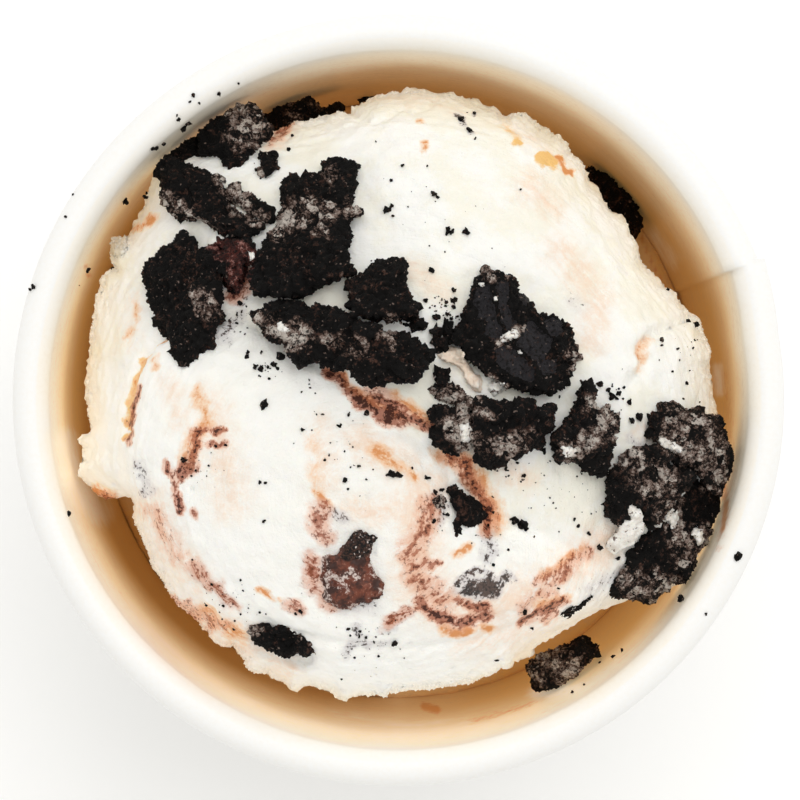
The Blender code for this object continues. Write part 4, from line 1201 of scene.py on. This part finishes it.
FILLING_STREAKS = {
    "crumbly": (2.6, 0.85, (238, 112), (250, 124), (258, 138)),
    "crumbly_low": (1.5, 0.7, (226, 140), (240, 143), (252, 147)),
    "shard_left": (1.6, 0.8, (166, 200), (178, 208), (190, 214)),
    "shard_right": (1.5, 0.95, (222, 184), (234, 192), (247, 200)),
    "shard_low": (1.6, 0.75, (236, 206), (248, 214), (256, 219)),
    "shard_edge": (1.1, 0.6, (196, 222), (214, 232)),
    "tall_smear": (2.3, 0.95, (280, 226), (294, 216), (312, 210), (326, 208)),
    "tall_right": (1.2, 0.7, (316, 226), (322, 232)),
    "tall_side": (1.7, 0.7, (352, 210), (364, 212)),
    "tall_top": (1.4, 0.4, (330, 170), (336, 182)),
    "left_blob": (1.7, 0.95, (195, 294), (203, 306), (211, 313)),
    "wide_left": (1.2, 0.8, (256, 312), (264, 318)),
    "wide_blob": (2.3, 1.0, (276, 330), (288, 334), (300, 336)),
    "wide_speckle": (1.8, 0.6, (330, 342), (346, 345), (358, 350)),
    "wide_right": (1.6, 0.7, (384, 336), (392, 340)),
    "knob": (1.2, 0.6, (388, 318), (394, 322)),
    "face_fleck": (1.0, 1.0, (499, 343), (510, 337), (521, 330)),
    "face_edge": (1.2, 0.55, (488, 272), (504, 274)),
    "face_right": (1.3, 0.6, (572, 352), (574, 366)),
    "face_low": (1.3, 0.75, (488, 384), (500, 388)),
    "grey_one": (2.2, 0.85, (446, 388), (454, 398), (466, 404)),
    "grey_two": (2.0, 0.95, (452, 424), (462, 432), (466, 444)),
    "mid_left": (1.4, 0.75, (478, 412), (486, 413)),
    "mid_low": (1.9, 0.6, (484, 444), (504, 446), (530, 436)),
    "slab_band": (1.7, 0.95, (568, 452), (584, 448), (594, 436), (604, 424)),
    "slab_top": (2.2, 0.8, (596, 404), (606, 416), (612, 426)),
    "top_one": (2.4, 0.62, (672, 414), (690, 418), (700, 424)),
    "top_two": (2.6, 0.7, (668, 440), (684, 446), (700, 452)),
    "top_three": (2.6, 0.66, (708, 432), (716, 446), (710, 462), (716, 478)),
    "left_one": (2.8, 0.66, (652, 470), (664, 476), (674, 486)),
    "left_two": (2.4, 0.66, (642, 486), (654, 494), (660, 504)),
    "left_three": (1.7, 0.75, (622, 462), (634, 456)),
    "dark_white": (0.7, 0.8, (674, 508), (680, 518), (684, 528)),
    "dark_white_left": (0.6, 0.7, (664, 514), (668, 524)),
    "low_one": (2.0, 0.9, (702, 532), (706, 546)),
    "low_two": (2.2, 0.85, (680, 540), (690, 548), (684, 560)),
    "low_three": (2.2, 0.8, (660, 582), (676, 592)),
    "low_four": (2.2, 0.8, (700, 566), (712, 552)),
    "low_five": (2.4, 0.7, (628, 580), (646, 590), (656, 598)),
    "wedge_low": (3.2, 0.7, (536, 668), (556, 660), (572, 668)),
    "front_left": (1.1, 0.9, (252, 626), (258, 630)),
    "front_right": (0.9, 0.4, (300, 634), (316, 648)),
    "gap_back": (2.2, 0.45, (294, 112), (312, 104)),
}
# The smooth places between the raised bars of the pressed face.
PLATEAUS = (
    ((480, 289), (488, 286), (490, 300), (493, 306), (495, 316), (502, 335), (494, 338), (488, 333),
     (492, 323), (488, 318), (481, 316), (482, 308), (474, 301)),
    ((501, 301), (506, 301), (508, 313), (516, 326), (509, 330), (503, 314)),
    ((499, 283), (506, 282), (507, 298), (501, 300)),
    ((520, 287), (527, 288), (532, 298), (527, 303), (521, 297)),
    ((532, 322), (540, 332), (551, 339), (548, 349), (541, 362), (532, 355), (519, 343), (525, 333)),
    ((548, 320), (559, 320), (562, 329), (557, 335), (550, 329)),
    ((496, 349), (512, 349), (518, 355), (532, 371), (531, 380), (518, 374), (506, 366), (499, 361)),
    ((538, 361), (556, 362), (554, 371), (545, 373)),
)


def within(places, outline):
    """Which places in the photo lie inside a closed outline."""
    outline = np.array(outline, float)
    inside = np.zeros(len(places), bool)
    for start, end in zip(outline, np.roll(outline, -1, axis=0)):
        between = (start[1] > places[:, 1]) != (end[1] > places[:, 1])
        crossing = start[0] + (places[:, 1] - start[1]) * (end[0] - start[0]) / (end[1] - start[1] or TINY)
        inside ^= between & (places[:, 0] < crossing)
    return inside


def smooth_at(places):
    """Whether places in the photo are on a smooth part of the pressed face."""
    return np.any([within(places, plateau) | (distance_to(places, plateau + plateau[:1]) < PLATEAU_MARGIN)
                   for plateau in PLATEAUS], axis=0)


def crumbled_tree():
    """Breaks a smooth lump up with ledges, crumbs and a fine grain, and keeps how far each point rose."""
    nodes, given = geometry_tree("crumbled", {
        "Seed": "Float", "Steps": "Float", "Crumbs": "Float", "Grain": "Float", "Soften": "Int",
        "Material": "Material"})
    seed, smooth = given["Seed"], named(nodes, "smooth")
    shape = softened(nodes, given["Geometry"], given["Soften"], 1.0)
    shift = nodes.add("ShaderNodeCombineXYZ", None, {"X": seed, "Y": seed * 0.7, "Z": seed * 0.3})
    place = nodes.shifted(nodes.add("GeometryNodeInputPosition"), shift)
    warped = nodes.warped(place, BEND_SIZE)
    ledge = nodes.axes(nodes.cells(warped, LEDGE_SIZE).other("Color")) - 0.5
    craggy = nodes.noise(place, CRAG_SIZE, 5.0, 0.8) - 0.5
    crumb = 0.4 - nodes.cells(warped, CRUMB_SIZE)
    grain = nodes.noise(place, GRAIN_SIZE, 3.0, 0.7) - 0.5
    rough = 1 - 0.65 * smooth
    fine = rough * (craggy * given["Crumbs"] * 3.2 + crumb * given["Crumbs"] + grain * given["Grain"])
    broken = ledge * given["Steps"] * (1 - 0.6 * smooth)
    shape = moved_out(nodes, shape, broken + fine - PLATEAU_DEPTH * smooth)
    shape = nodes.add("GeometryNodeStoreNamedAttribute", {"data_type": "FLOAT", "domain": "POINT"}, {
        "Geometry": shape, "Name": "rise", "Value": fine / MM})
    return end_tree(nodes, shape, given["Material"])


def cookie_material():
    """Dark cookie: black, brown grain where rough, painted shade in pits, smears of filling and fudge,
    specks.
    """
    material, nodes, shader, place = new_material("dark_cookie", {"Specular IOR Level": 0.24})
    mottle = nodes.noise(place, 1.1 * MM, 5.0, 0.75)
    fine = nodes.noise(place, 0.32 * MM, 3.0, 0.7)
    patch = nodes.noise(place, 3.5 * MM, 2.0)
    flat = nodes.rise(nodes.painted("smooth") + 0.7 * (mottle - 0.5), 0.5, 0.6)
    # Painted shade and highlight: darker where the surface sank and the bump is low, lighter where they rose,
    # beside the cookie's own grain.
    grain_and_relief_shade = 1.4 * nodes.painted("rise") + 1.5 * (fine - 0.5) + 1.4 * (mottle - 0.5) + 0.8 * (patch - 0.5)
    colour = nodes.tint(nodes.rise(grain_and_relief_shade, 0.05, 0.6), COOKIE_BLACK, COOKIE_BROWN)
    colour = nodes.laid(colour, COOKIE_GRAIN, grain_and_relief_shade, 0.6, 0.9, 0.75)
    # Grey of the smooth plateaus: partly their own tone, partly a painted sheen.
    colour = nodes.tint(flat * (0.85 - 0.9 * nodes.rise(fine, 0.5, 0.7)), colour, COOKIE_FLAT)
    colour = nodes.laid(colour, FILLING_GREY, nodes.noise(place, 0.5 * MM, 1.0), 0.69, 0.74, 0.7)
    fudge = nodes.rise(nodes.painted("fudge") + 0.8 * (mottle - 0.5), 0.3, 0.45)
    colour = nodes.tint(fudge * 0.9, colour, nodes.tint(nodes.rise(mottle, 0.42, 0.6), FUDGE_DARK, FUDGE))
    colour = nodes.tint(fudge * nodes.rise(mottle + 0.6 * (fine - 0.5), 0.56, 0.66) * 0.7, colour, FUDGE_PALE)
    lump = nodes.cells(nodes.warped(place, SMEAR_LUMP), SMEAR_LUMP)
    kind = nodes.axes(lump.other("Color"))
    there = nodes.painted("filling")
    filling = there + nodes.rise(there, 0.05, 0.4) * (
        0.9 * (kind - 0.5) + 1.8 * (fine - 0.5) + 1.4 * (mottle - 0.5) - 0.7 * (lump - 0.4) - 0.12)
    colour = nodes.laid(colour, FILLING_STAIN, filling, 0.14, 0.34, 0.75)
    colour = nodes.laid(colour, FILLING_GREY, filling, 0.4, 0.5)
    colour = nodes.laid(colour, FILLING_WHITE, filling, 0.56, 0.95)
    specks = nodes.rise(nodes.noise(place, 0.45 * MM, 2.0) + 0.3 * (mottle - 0.5), 0.57, 0.62)
    colour = nodes.tint(specks * 0.85, colour, COOKIE_BLACK)
    relief = nodes.relief(mottle + 0.6 * fine, 0.7 * MM)
    nodes.feed(shader, {
        "Base Color": colour, "Roughness": 0.85 - 0.35 * flat - 0.45 * fudge, "Normal": relief})
    return material


crumbled = crumbled_tree()
dark_cookie = cookie_material()
cookie_nodes = sorted(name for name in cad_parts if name.startswith("cookie"))


def broken_piece(node, seed, material, outline,
                 steps=0.9, crumbs=0.62, grain=0.7, swell=COOKIE_SETTLED):
    """A piece that stands for a CAD node: its form, fitted to its outline, broken and crumbled."""
    mesh = recut(clay((node,), swell), COOKIE_CELL)
    if outline:
        set_points(mesh, fit_outline(points_of(mesh), outline))
        mesh = recut(mesh, COOKIE_CELL)
    places = photo_places(points_of(mesh))
    paint(mesh, "filling", streaked(wandered(places, reach=7, size=14), FILLING_STREAKS) ** 0.75)
    paint(mesh, "fudge", streaked(places, FUDGE_STREAKS))
    paint(mesh, "smooth", smooth_at(wandered(places, reach=2, size=8)))
    piece = run_tree(node + "_piece", mesh, crumbled, {
        "Seed": SEED_STEP * seed, "Steps": steps * MM, "Crumbs": crumbs * MM, "Grain": grain * MM,
        "Soften": 2, "Material": material})
    piece.data.shade_smooth()
    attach(piece, "root")
    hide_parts(node)
    return piece


cookies = [broken_piece(node, seed, dark_cookie, OUTLINES.get(node))
           for seed, node in enumerate(cookie_nodes)]

# ---------------------------------------------------------------- the brownie
# A lump of soft chocolate brownie, half sunk in the front scoop. It is moist and glossy, torn across its top,
# and ice cream is smeared into it in veins.

BROWNIE = srgb(116, 58, 38)
BROWNIE_DARK = srgb(56, 28, 20)
BROWNIE_PALE = srgb(150, 104, 84)
VEIN = srgb(214, 200, 192)
BROWNIE_SWELL = 0.45 * MM
BROWNIE_OUTLINE = (
    (350, 531), (358, 526), (367, 528), (382, 533), (377, 544), (374, 552), (370, 562), (376, 573),
    (388, 579), (389, 588), (384, 598), (372, 604), (357, 607), (340, 612), (331, 605), (321, 599),
    (323, 588), (317, 577), (321, 566), (320, 553), (336, 551), (343, 541))
BROWNIE_COOKIE = (1.7, 1.0, (352, 536), (372, 534), (364, 548), (350, 552))
BROWNIE_VEINS = {
    "left": (1.3, 0.6, (324, 552), (330, 572), (322, 590), (330, 604)),
    "middle": (1.2, 0.6, (334, 574), (342, 580), (352, 572), (358, 576)),
    "low": (1.0, 0.5, (328, 588), (338, 586), (348, 590)),
    "right": (0.7, 0.55, (372, 586), (380, 590), (386, 592)),
    "round": (1.3, 0.5, *BROWNIE_OUTLINE, BROWNIE_OUTLINE[0]),
}


def brownie_material():
    """Moist brown crumb, with painted shade in the hollows of its bump, a corner of cookie and veins of ice
    cream.
    """
    material, nodes, shader, place = new_material("moist_brownie", {"Specular IOR Level": 0.4})
    mottle = nodes.noise(place, 1.6 * MM, 4.0, 0.65)
    fine = nodes.noise(place, 0.4 * MM, 4.0, 0.7)
    black = nodes.rise(nodes.painted("cookie") + 0.8 * (mottle - 0.5), 0.3, 0.5)
    # Painted shade: darker where the bump is low.
    colour = nodes.tint(nodes.rise(mottle, 0.36, 0.6), BROWNIE_DARK, BROWNIE)
    colour = nodes.laid(colour, BROWNIE_PALE, fine + 0.5 * (mottle - 0.5), 0.56, 0.72, 0.7)
    colour = nodes.tint(black, colour, nodes.tint(nodes.rise(fine, 0.45, 0.65), COOKIE_BLACK, COOKIE_BROWN))
    vein = nodes.rise(nodes.painted("filling") + 1.4 * (mottle - 0.5) + 1.0 * (fine - 0.5), 0.36, 0.62)
    vein = vein + black * nodes.rise(nodes.noise(place, 0.5 * MM, 2.0), 0.62, 0.68)
    colour = nodes.tint(vein * 0.9, colour, VEIN)
    relief = nodes.relief(mottle + 0.5 * fine, 0.15 * MM, 0.5)
    nodes.feed(shader, {"Base Color": colour, "Roughness": 0.4 + 0.3 * fine + 0.3 * black, "Normal": relief})
    return material


brownie = broken_piece("brownie", 40, brownie_material(), BROWNIE_OUTLINE,
                       steps=0.5, crumbs=0.4, grain=0.4, swell=BROWNIE_SWELL)
brownie_places = wandered(photo_places(points_of(brownie.data)), reach=5, size=14)
paint(brownie.data, "filling", streaked(brownie_places, BROWNIE_VEINS))
paint(brownie.data, "cookie", streaked(brownie_places, {"corner": BROWNIE_COOKIE}))

# ---------------------------------------------------------------- the flake of filling
# A flake of the cookies' white filling, pressed between the pieces at the right. It is mottled, and a few
# dark specks of cookie stick to it.

FLAKE = srgb(246, 244, 238)
FLAKE_SHADE = srgb(218, 212, 204)
FLAKE_OUTLINE = (
    (629, 500), (635, 507), (643, 511), (646, 520), (643, 532), (635, 542), (622, 549), (614, 554),
    (606, 550), (604, 545), (614, 535), (620, 528), (620, 518), (623, 509))


def flake_material():
    """White sugar filling, mottled, with specks of cookie."""
    material, nodes, shader, place = new_material("cream_filling", {
        "Subsurface Weight": 0.2, "Subsurface Radius": (1.0, 0.8, 0.6), "Subsurface Scale": 0.6 * MM,
        "Specular IOR Level": 0.35})
    mottle = nodes.noise(place, 1.1 * MM, 4.0, 0.7)
    speck = nodes.rise(nodes.noise(place, 0.6 * MM, 3.0), 0.6, 0.66)
    colour = nodes.tint(nodes.rise(mottle, 0.35, 0.65), FLAKE, FLAKE_SHADE)
    colour = nodes.tint(speck * 0.9, colour, COOKIE_BROWN)
    relief = nodes.relief(mottle, 0.12 * MM, 0.5)
    nodes.feed(shader, {"Base Color": colour, "Roughness": 0.45 + 0.2 * mottle, "Normal": relief})
    return material


flake = broken_piece("cream_flake", 41, flake_material(), FLAKE_OUTLINE,
                     steps=0.5, crumbs=0.2, grain=0.1)

# ---------------------------------------------------------------- bits of cream and cookie
# Small flat bits that the breaking left behind: white filling stuck to the cookies, ice cream dragged up
# beside them, and a thin wedge of cookie pressed into the front scoop's foot.

BIT_CELL = 0.17 * MM
BIT_RINGS = 1.0, 0.8, 0.5  # of the way from a bit's middle to its outline
BIT_UNDER = 0.6  # share of a bit's thickness that lies in what carries it
BIT_SAG = 1.2  # of its thickness, how far a bit may hang over an edge

# Each bit's thickness in millimetres and its outline in pixels.
FILLING_BITS = (
    (0.6, ((499, 336), (503, 334), (512, 330), (516, 328), (523, 334), (518, 338), (512, 341), (503, 345),
           (499, 341))),
    (0.9, ((486, 384), (494, 381), (506, 382), (507, 390), (498, 396), (488, 393))),
    (0.9, ((666, 514), (670, 509), (674, 513), (677, 520), (676, 529), (672, 531), (669, 524), (665, 520))),
    (0.9, ((691, 532), (696, 524), (703, 530), (704, 545), (698, 548), (695, 540))),
    (0.7, ((658, 436), (668, 440), (680, 446), (684, 452), (674, 453), (662, 447))),
    (0.7, ((247, 250), (256, 252), (255, 262), (248, 260))),
    (0.6, ((478, 283), (484, 282), (487, 286), (481, 289))),
    (0.8, ((560, 446), (570, 445), (577, 449), (574, 456), (564, 458))),
    (0.5, ((493, 297), (497, 296), (498, 300), (494, 302))),
    (0.5, ((516, 350), (520, 349), (522, 353), (518, 355))),
    (0.7, ((460, 424), (468, 421), (473, 428), (471, 440), (463, 444), (458, 434))),
    (0.6, ((276, 322), (284, 324), (290, 331), (284, 336), (277, 331))),
)
ICE_CREAM_BITS = (
    (1.4, ((452, 344), (464, 351), (468, 363), (478, 374), (484, 379), (482, 394), (474, 392), (468, 384),
           (464, 374), (455, 365), (443, 360), (436, 356), (440, 348))),
)
TORN_BITS = (
    (1.0, ((112, 241), (120, 237), (129, 237), (131, 247), (126, 256), (118, 261), (112, 256))),
)
SPECKLED_BITS = (
    (1.0, ((430, 384), (440, 380), (452, 382), (462, 388), (470, 396), (478, 402), (470, 410), (458, 408),
           (446, 404), (436, 400), (428, 392))),
    (0.9, ((255, 168), (262, 163), (270, 168), (266, 176), (258, 176))),
    (0.9, ((430, 500), (440, 494), (449, 500), (446, 508), (436, 510))),
)
COOKIE_BITS = (
    (0.8, ((558, 615), (565, 608), (572, 605), (579, 605), (586, 599), (592, 594), (597, 593), (592, 599),
           (584, 605), (578, 610), (573, 614), (568, 619), (562, 618))),
    (1.3, ((436, 372), (443, 369), (450, 373), (450, 381), (443, 385), (436, 380))),
)


def surface_under(pieces):
    """A function that gives what the camera sees of the pieces at a place in the photo."""
    trees = []
    for piece in pieces:
        bm = bmesh.new()
        bm.from_mesh(piece.data)
        trees.append(BVHTree.FromBMesh(bm))
        bm.free()

    def look(x, y):
        """The nearest hit as the point, its normal, its face and how far it is, or None."""
        right, up = (x - PHOTO_SIDE / 2) / PHOTO_SCALE * MM, (PHOTO_SIDE / 2 - y) / PHOTO_SCALE * MM
        way = Vector((right, up, -VIEW_HEIGHT)).normalized()
        hits = [tree.ray_cast(eye, way) for tree in trees]
        hits = [hit for hit in hits if hit[0] is not None]
        return min(hits, key=lambda hit: hit[3]) if hits else None

    return look


look = surface_under([ice_cream, tub, brownie, flake, *cookies])


def bits(name, outlines, material, painted, crumbs, grain):
    """Flat lumps on what the camera sees inside each outline, as one piece."""
    bm = bmesh.new()
    for thickness, outline in outlines:
        middle = np.mean(outline, axis=0)
        lowest = np.median([look(x, y)[0].z for x, y in outline]) - BIT_SAG * thickness * MM
        rings = []
        above = [(1, share) for share in BIT_RINGS]
        below = [(-BIT_UNDER, share) for share in BIT_RINGS[:0:-1]]
        for side, share in above + below:
            ring = []
            for x, y in middle + share * (np.array(outline) - middle):
                spot = look(x, y)[0].copy()
                spot.z = max(spot.z, lowest) + side * math.sqrt(1 - share ** 2) * thickness * MM
                ring.append(bm.verts.new(spot))
            rings.append(ring)
        order = rings[2::-1] + rings[:2:-1]
        for upper, lower in zip(order[:-1], order[1:]):
            for i in range(len(outline)):
                bm.faces.new((upper[i - 1], upper[i], lower[i], lower[i - 1]))
        bm.faces.new(order[0])
        bm.faces.new(order[-1][::-1])
    bmesh.ops.recalc_face_normals(bm, faces=bm.faces)
    mesh = bpy.data.meshes.new(name)
    bm.to_mesh(mesh)
    bm.free()
    mesh = recut(mesh, BIT_CELL)
    for attribute, value in painted.items():
        paint(mesh, attribute, np.full(len(mesh.vertices), value))
    piece = run_tree(name, mesh, crumbled, {
        "Seed": 3.0, "Steps": 0.1 * MM, "Crumbs": crumbs * MM, "Grain": grain * MM, "Soften": 1,
        "Material": material})
    piece.data.shade_smooth()
    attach(piece, "root")
    return piece


bits("filling_bits", FILLING_BITS, flake.data.materials[0], {}, crumbs=0.45, grain=0.6)
bits("ice_cream_bits", ICE_CREAM_BITS, cream_finish, {"haze": 0.9}, crumbs=0.35, grain=0.3)
bits("torn_bits", TORN_BITS, cream_finish, {}, crumbs=0.7, grain=0.9)
bits("speckled_bits", SPECKLED_BITS, dark_cookie, {"filling": 0.75}, crumbs=0.5, grain=0.6)
bits("cookie_bits", COOKIE_BITS, dark_cookie, {}, crumbs=0.5, grain=0.6)

# ---------------------------------------------------------------- crumbs
# Cookie crumbs that fell on the ice cream, the wall and the rim when the cookies were broken over the tub.

CRUMB_SINK = 0.3  # share of its size that a crumb lies in what carries it
CRUMB_LEAST = 0.75, 0.6, 0.5  # the least and the most of its size that a crumb takes up along each axis
CRUMB_MOST = 1.3, 1.1, 0.9
CRUMB_ROUGH = 0.45 * MM
SPECK_LEAST = 0.35  # the smallest draw of a speck's size, which leans towards small ones
SPECK_SEED = 5

# Each crumb's place in pixels and its size in millimetres.
CRUMBS = {
    "far_scoop": (
        (376, 142, 0.35), (403, 166, 0.55), (427, 166, 0.3), (391, 181, 0.45), (433, 194, 0.8),
        (437, 197, 0.5), (386, 210, 1.0), (392, 206, 0.8), (393, 216, 0.4), (408, 207, 0.25),
        (447, 231, 0.85), (452, 232, 0.8), (466, 233, 0.95), (520, 190, 0.3), (431, 270, 0.8),
        (454, 290, 0.75), (453, 301, 0.85), (453, 307, 0.6), (425, 300, 0.6), (436, 317, 0.85),
        (447, 314, 0.5), (446, 302, 0.4), (441, 307, 0.3), (451, 319, 0.6), (458, 316, 0.5), (461, 121, 0.7),
        (467, 113, 0.3), (474, 114, 0.55), (469, 131, 0.85), (475, 139, 0.4), (293, 136, 0.45),
        (289, 150, 0.4), (436, 334, 2.2), (446, 331, 2.2), (441, 344, 2.0), (449, 341, 1.8), (443, 378, 2.3),
        (436, 372, 1.6), (437, 387, 1.6), (452, 389, 1.4), (448, 396, 1.2)),
    "right_lobe": (
        (689, 322, 0.6), (695, 325, 0.8), (661, 341, 0.75), (661, 346, 0.4), (677, 349, 0.4), (693, 348, 0.3),
        (672, 372, 0.3), (686, 383, 0.5), (659, 360, 0.25), (668, 290, 0.6), (622, 369, 0.3), (629, 402, 0.9),
        (600, 384, 0.8), (608, 390, 0.7), (612, 396, 0.9), (618, 393, 0.7), (699, 402, 0.3), (683, 399, 0.35),
        (631, 421, 1.1), (638, 417, 1.0), (621, 410, 0.3)),
    "left_edge": (
        (111, 269, 0.9), (87, 270, 0.7), (147, 197, 0.6), (147, 193, 0.4), (124, 200, 0.95), (68, 515, 0.5),
        (152, 148, 0.6), (156, 147, 0.6), (144, 282, 0.3)),
    "front_scoop": (
        (184, 460, 0.85), (209, 466, 0.45), (264, 405, 1.0), (247, 357, 0.6), (248, 353, 0.5),
        (281, 357, 0.95), (256, 367, 0.7), (261, 370, 0.7), (268, 367, 0.6), (274, 365, 0.75),
        (278, 369, 0.55), (269, 379, 0.4), (309, 380, 0.35), (309, 384, 0.35), (310, 388, 0.3),
        (240, 304, 0.7), (242, 311, 0.45), (245, 334, 0.3), (303, 430, 0.45), (349, 414, 0.6),
        (367, 413, 0.75), (338, 426, 0.5), (322, 415, 0.4), (260, 482, 0.5), (265, 483, 0.35),
        (264, 521, 0.5), (359, 466, 0.6), (392, 474, 0.85), (398, 475, 0.75), (427, 478, 0.8),
        (412, 468, 0.35), (329, 455, 0.35), (345, 481, 0.6), (348, 489, 0.3), (360, 496, 0.3),
        (226, 445, 0.45), (216, 446, 0.35), (298, 359, 0.3)),
    "front_low": (
        (497, 660, 0.55), (348, 629, 0.5), (360, 631, 0.45), (359, 636, 0.5), (366, 637, 0.45),
        (394, 643, 0.75), (301, 612, 0.5), (296, 613, 0.4), (212, 584, 0.5), (266, 614, 0.3), (234, 629, 0.4),
        (508, 550, 0.4), (515, 521, 1.1), (521, 525, 1.2), (511, 519, 0.6), (526, 530, 0.5), (574, 519, 0.45),
        (578, 526, 0.45), (588, 533, 0.55), (493, 565, 0.45), (524, 612, 0.75), (532, 628, 0.5),
        (558, 588, 0.4), (494, 512, 0.4), (618, 558, 0.7), (598, 547, 0.9), (435, 493, 0.6), (441, 490, 0.6),
        (434, 521, 0.55), (447, 515, 0.5), (443, 514, 0.4), (523, 476, 0.55), (506, 469, 0.6),
        (497, 471, 0.3), (518, 463, 0.4), (543, 450, 0.7), (550, 461, 0.3), (559, 397, 0.4)),
    "far_left": (
        (262, 158, 1.2), (268, 164, 1.9), (274, 157, 1.7), (270, 172, 1.7), (276, 168, 1.4), (257, 171, 0.5),
        (366, 97, 1.3), (372, 97, 1.1), (361, 99, 0.9), (183, 127, 0.9), (187, 123, 0.8), (163, 143, 0.5)),
    "wall_and_rim": (
        (30, 285, 0.9), (34, 287, 0.8), (31, 290, 0.6), (73, 195, 0.4), (66, 217, 0.35), (193, 95, 0.5),
        (190, 102, 0.4), (199, 103, 0.4), (178, 119, 0.45), (177, 115, 0.3), (238, 83, 0.4), (219, 93, 0.5),
        (738, 557, 0.9), (683, 600, 1.1), (706, 614, 0.4), (614, 657, 0.45), (623, 651, 0.5), (585, 685, 0.4),
        (573, 693, 0.5), (600, 663, 0.4), (79, 285, 0.3), (68, 514, 0.6)),
}
# Where finer specks lie: the middle of a spread in pixels, its reach there, how many, and their largest size
# in millimetres.
SPECKS = {
    "by_knob": (444, 306, 14, 26, 0.38),
    "over_face": (452, 318, 8, 12, 0.4),
    "by_slab": (612, 395, 12, 14, 0.4),
    "by_right": (690, 350, 22, 16, 0.28),
    "by_shard": (262, 166, 14, 12, 0.35),
    "by_wide": (268, 366, 16, 16, 0.35),
    "on_swirl": (200, 470, 26, 22, 0.3),
    "on_smear": (230, 600, 30, 34, 0.32),
    "front": (370, 645, 34, 30, 0.32),
    "crease": (470, 520, 30, 30, 0.35),
    "right": (560, 500, 36, 26, 0.28),
    "by_mid": (520, 468, 26, 22, 0.35),
    "middle": (340, 450, 50, 34, 0.3),
    "far": (440, 220, 70, 24, 0.25),
    "left": (236, 320, 16, 14, 0.35),
}


def crumbled_points_tree():
    """Sets a rough crumb on every point, of the size that the point holds."""
    nodes, given = geometry_tree("crumbs", {"Roughness": "Float", "Seed": "Int", "Material": "Material"})
    ball = nodes.add("GeometryNodeMeshIcoSphere", None, {"Radius": 0.5, "Subdivisions": 2})
    turn = nodes.add("FunctionNodeRandomValue", {"data_type": "FLOAT_VECTOR"}, {
        "Min": (0.0, 0.0, 0.0), "Max": (math.tau, math.tau, math.tau), "Seed": given["Seed"]})
    spread = nodes.add("FunctionNodeRandomValue", {"data_type": "FLOAT_VECTOR"}, {
        "Min": CRUMB_LEAST, "Max": CRUMB_MOST, "Seed": given["Seed"]})
    size = named(nodes, "size")
    placed = nodes.add("GeometryNodeInstanceOnPoints", None, {
        "Points": given["Geometry"], "Instance": ball, "Rotation": turn, "Scale": nodes.scaled(spread, size)})
    real = nodes.add("GeometryNodeRealizeInstances", None, {"Geometry": placed})
    rough = nodes.noise(nodes.add("GeometryNodeInputPosition"), CRUMB_ROUGH, 3.0, 0.7) - 0.5
    shape = moved_out(nodes, real, rough * given["Roughness"] * size)
    return end_tree(nodes, shape, given["Material"])


rng = np.random.default_rng(SPECK_SEED)
crumb_list = [crumb for group in CRUMBS.values() for crumb in group]
for x, y, reach, count, largest in SPECKS.values():
    for _ in range(count):
        dx, dy = rng.normal(0, reach / 2, 2)
        crumb_list.append((x + dx, y + dy, largest * rng.uniform(SPECK_LEAST, 1) ** 1.5))
spots, sizes = [], []
for x, y, size in crumb_list:
    hit = look(x, y)
    if hit:
        spots.append(hit[0] + hit[1] * size * MM * (0.5 - CRUMB_SINK))
        sizes.append(size * MM)
crumb_points = bpy.data.meshes.new("crumb_points")
crumb_points.from_pydata(spots, [], [])
paint(crumb_points, "size", sizes)
crumbs = run_tree("crumbs", crumb_points, crumbled_points_tree(), {
    "Roughness": 2.2, "Seed": 3, "Material": dark_cookie})
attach(crumbs, "root")
